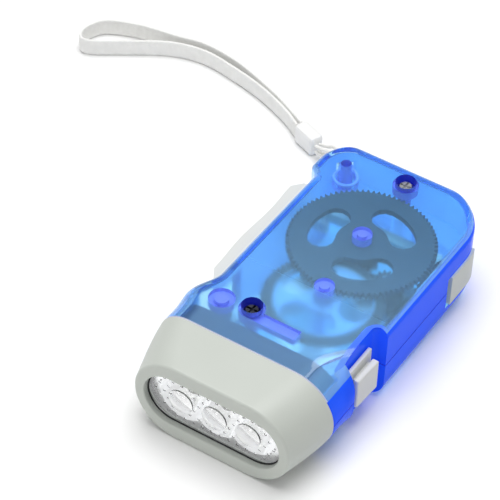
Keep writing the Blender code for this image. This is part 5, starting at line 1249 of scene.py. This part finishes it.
CORD_ROUTES = {
    "strap_cord_a": (
        (-35.6, 59.6, 2.0), (-31.5, 56.6, 4.6), (-26.0, 52.0, 10.2), (-21.6, 46.9, 14.2),
        (-18.6, 42.4, 14.5), (-18.1, 38.4, 14.6), (-15.4, 36.5, 14.8), (-12.4, 38.0, 15.0),
        (-12.6, 41.4, 15.2), (-16.2, 44.4, 15.2), (-20.4, 48.6, 13.4), (-27.4, 54.4, 9.4),
        (-31.8, 58.2, 4.4), (-35.3, 60.4, 2.0),
    ),
    "strap_cord_b": (
        (-35.7, 59.4, 4.4), (-31.5, 56.2, 7.4), (-25.6, 51.0, 13.2), (-21.0, 46.3, 16.6),
        (-18.3, 42.2, 17.2), (-18.1, 38.4, 17.2), (-15.4, 36.5, 17.2), (-12.4, 38.0, 17.2),
        (-12.6, 41.4, 17.2), (-16.2, 44.2, 17.2), (-19.9, 48.4, 16.0), (-27.0, 54.2, 12.0),
        (-31.4, 58.2, 7.2), (-35.2, 60.6, 4.4),
    ),
}


def smooth_route(places, spacing):
    """Points at an even spacing on a smooth curve through the places."""
    places = [Vector(place) for place in places]
    ends = [2 * places[0] - places[1]] + places + [2 * places[-1] - places[-2]]
    dense = []
    for index in range(1, len(ends) - 2):
        before, start, end, after = ends[index - 1 : index + 3]
        for step in range(CURVE_STEPS):
            share = step / CURVE_STEPS
            dense.append((
                2 * start
                + (end - before) * share
                + (2 * before - 5 * start + 4 * end - after) * share**2
                + (3 * start - before - 3 * end + after) * share**3
            ) / 2)
    dense.append(places[-1])
    steps = np.array([(end - start).length for start, end in zip(dense[:-1], dense[1:])])
    walked = np.concatenate([[0], np.cumsum(steps)])
    count = max(round(walked[-1] / spacing), 2)
    marks = np.linspace(0, walked[-1], count + 1)
    table = np.array(dense)
    points = np.stack([np.interp(marks, walked, table[:, axis]) for axis in range(3)], 1)
    return points, float(walked[-1])


def sweep(name, points, shape, material):
    """Sweeps a cross-section along points. shape gives (sideways, upwards) places at each distance."""
    tangents = np.gradient(points, axis=0)
    tangents /= np.linalg.norm(tangents, axis=1)[:, None]
    sides = np.cross(tangents, (0, 0, 1))
    sides /= np.linalg.norm(sides, axis=1)[:, None]
    ups = np.cross(sides, tangents)
    walked = np.concatenate([[0], np.cumsum(np.linalg.norm(np.diff(points, axis=0), axis=1))])
    rings = []
    for point, side, up, distance in zip(points, sides, ups, walked):
        across, high = shape(distance)
        rings.append((point + across[:, None] * side + high[:, None] * up).tolist())
    return loft(name, rings, material)


def blue_light_mark(tree):
    """Marks the cords near the post, where the housing's blue light falls on them."""
    none_at, full_at = BLUE_LIGHT_END * MM, BLUE_LIGHT_FULL * MM
    return place_group(tree, around, Axis=tuple(STRAP_POST * MM), None_At=none_at, Full_At=full_at)["Mark"]


white_braid = cover(
    "white_braid", grain=5000.0, sink=400.0, share=0.4, rough=(0.75, 0.9),
    tones=((0.86, 0.86, 0.84), (0.96, 0.96, 0.94)), bump=(0.5, 0.2 * MM),
    mark=blue_light_mark, mark_tone=(0.4, 0.42, 0.9), Sheen_Weight=0.3, Sheen_Roughness=0.4,
)
BAND_SECTION = np.linspace(0, 2 * math.pi, BAND_SIDES, endpoint=False)


def band_shape(distance):
    """A flat section with rounded edges, whose faces carry the braid's slanting ridges."""
    across = np.cos(BAND_SECTION)
    high = np.sin(BAND_SECTION)
    flat = np.sign(across) * np.abs(across) ** BAND_EDGE_POWERS[0] * BAND_THICKNESS / 2
    tall = np.sign(high) * np.abs(high) ** BAND_EDGE_POWERS[1] * BAND_WIDTH / 2
    column = tall / (BAND_WIDTH / 4)
    slant = 2 * np.abs((column / 2) % 1 - 0.5)
    ridge = np.cos(2 * math.pi * (distance / BRAID_PITCH + slant * BRAID_SLANT))
    relief = BRAID_RELIEF * ridge * np.abs(across) ** BRAID_FADE_POWER
    return flat + np.sign(across) * relief, tall


height = BAND_WIDTH / 2 + GAP
band_points, band_length = smooth_route([(x, y, height) for x, y in BAND_ROUTE], BAND_SPACING)
band = sweep("strap_band_braided", band_points, band_shape, white_braid)
smooth(band, sharp=60)
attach(band, "housing")
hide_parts("strap_band")


def cord_shape(distance):
    """A round section whose strands turn about each other along the cord."""
    angles = np.linspace(0, 2 * math.pi, CORD_SIDES, endpoint=False)
    strands = np.abs(np.cos(angles - 2 * math.pi * distance / CORD_TWIST))
    radius = CORD_RADIUS * (1 - CORD_GROOVE + CORD_GROOVE * strands)
    return radius * np.cos(angles), radius * np.sin(angles)


for name, route in CORD_ROUTES.items():
    points, length = smooth_route(route, CORD_SPACING)
    cord = sweep(name + "_twisted", points, cord_shape, white_braid)
    smooth(cord, sharp=60)
    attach(cord, "housing")
    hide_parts(name)

white_plastic = cover(
    "white_sleeve_plastic", grain=2200.0, sink=200.0, share=0.3, rough=(0.35, 0.5),
    tones=((0.88, 0.88, 0.87), (0.93, 0.93, 0.92)),
)
finish_nodes(white_plastic, "strap_ferrule", "led_board")
round_edges(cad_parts["strap_ferrule"], width=0.4)
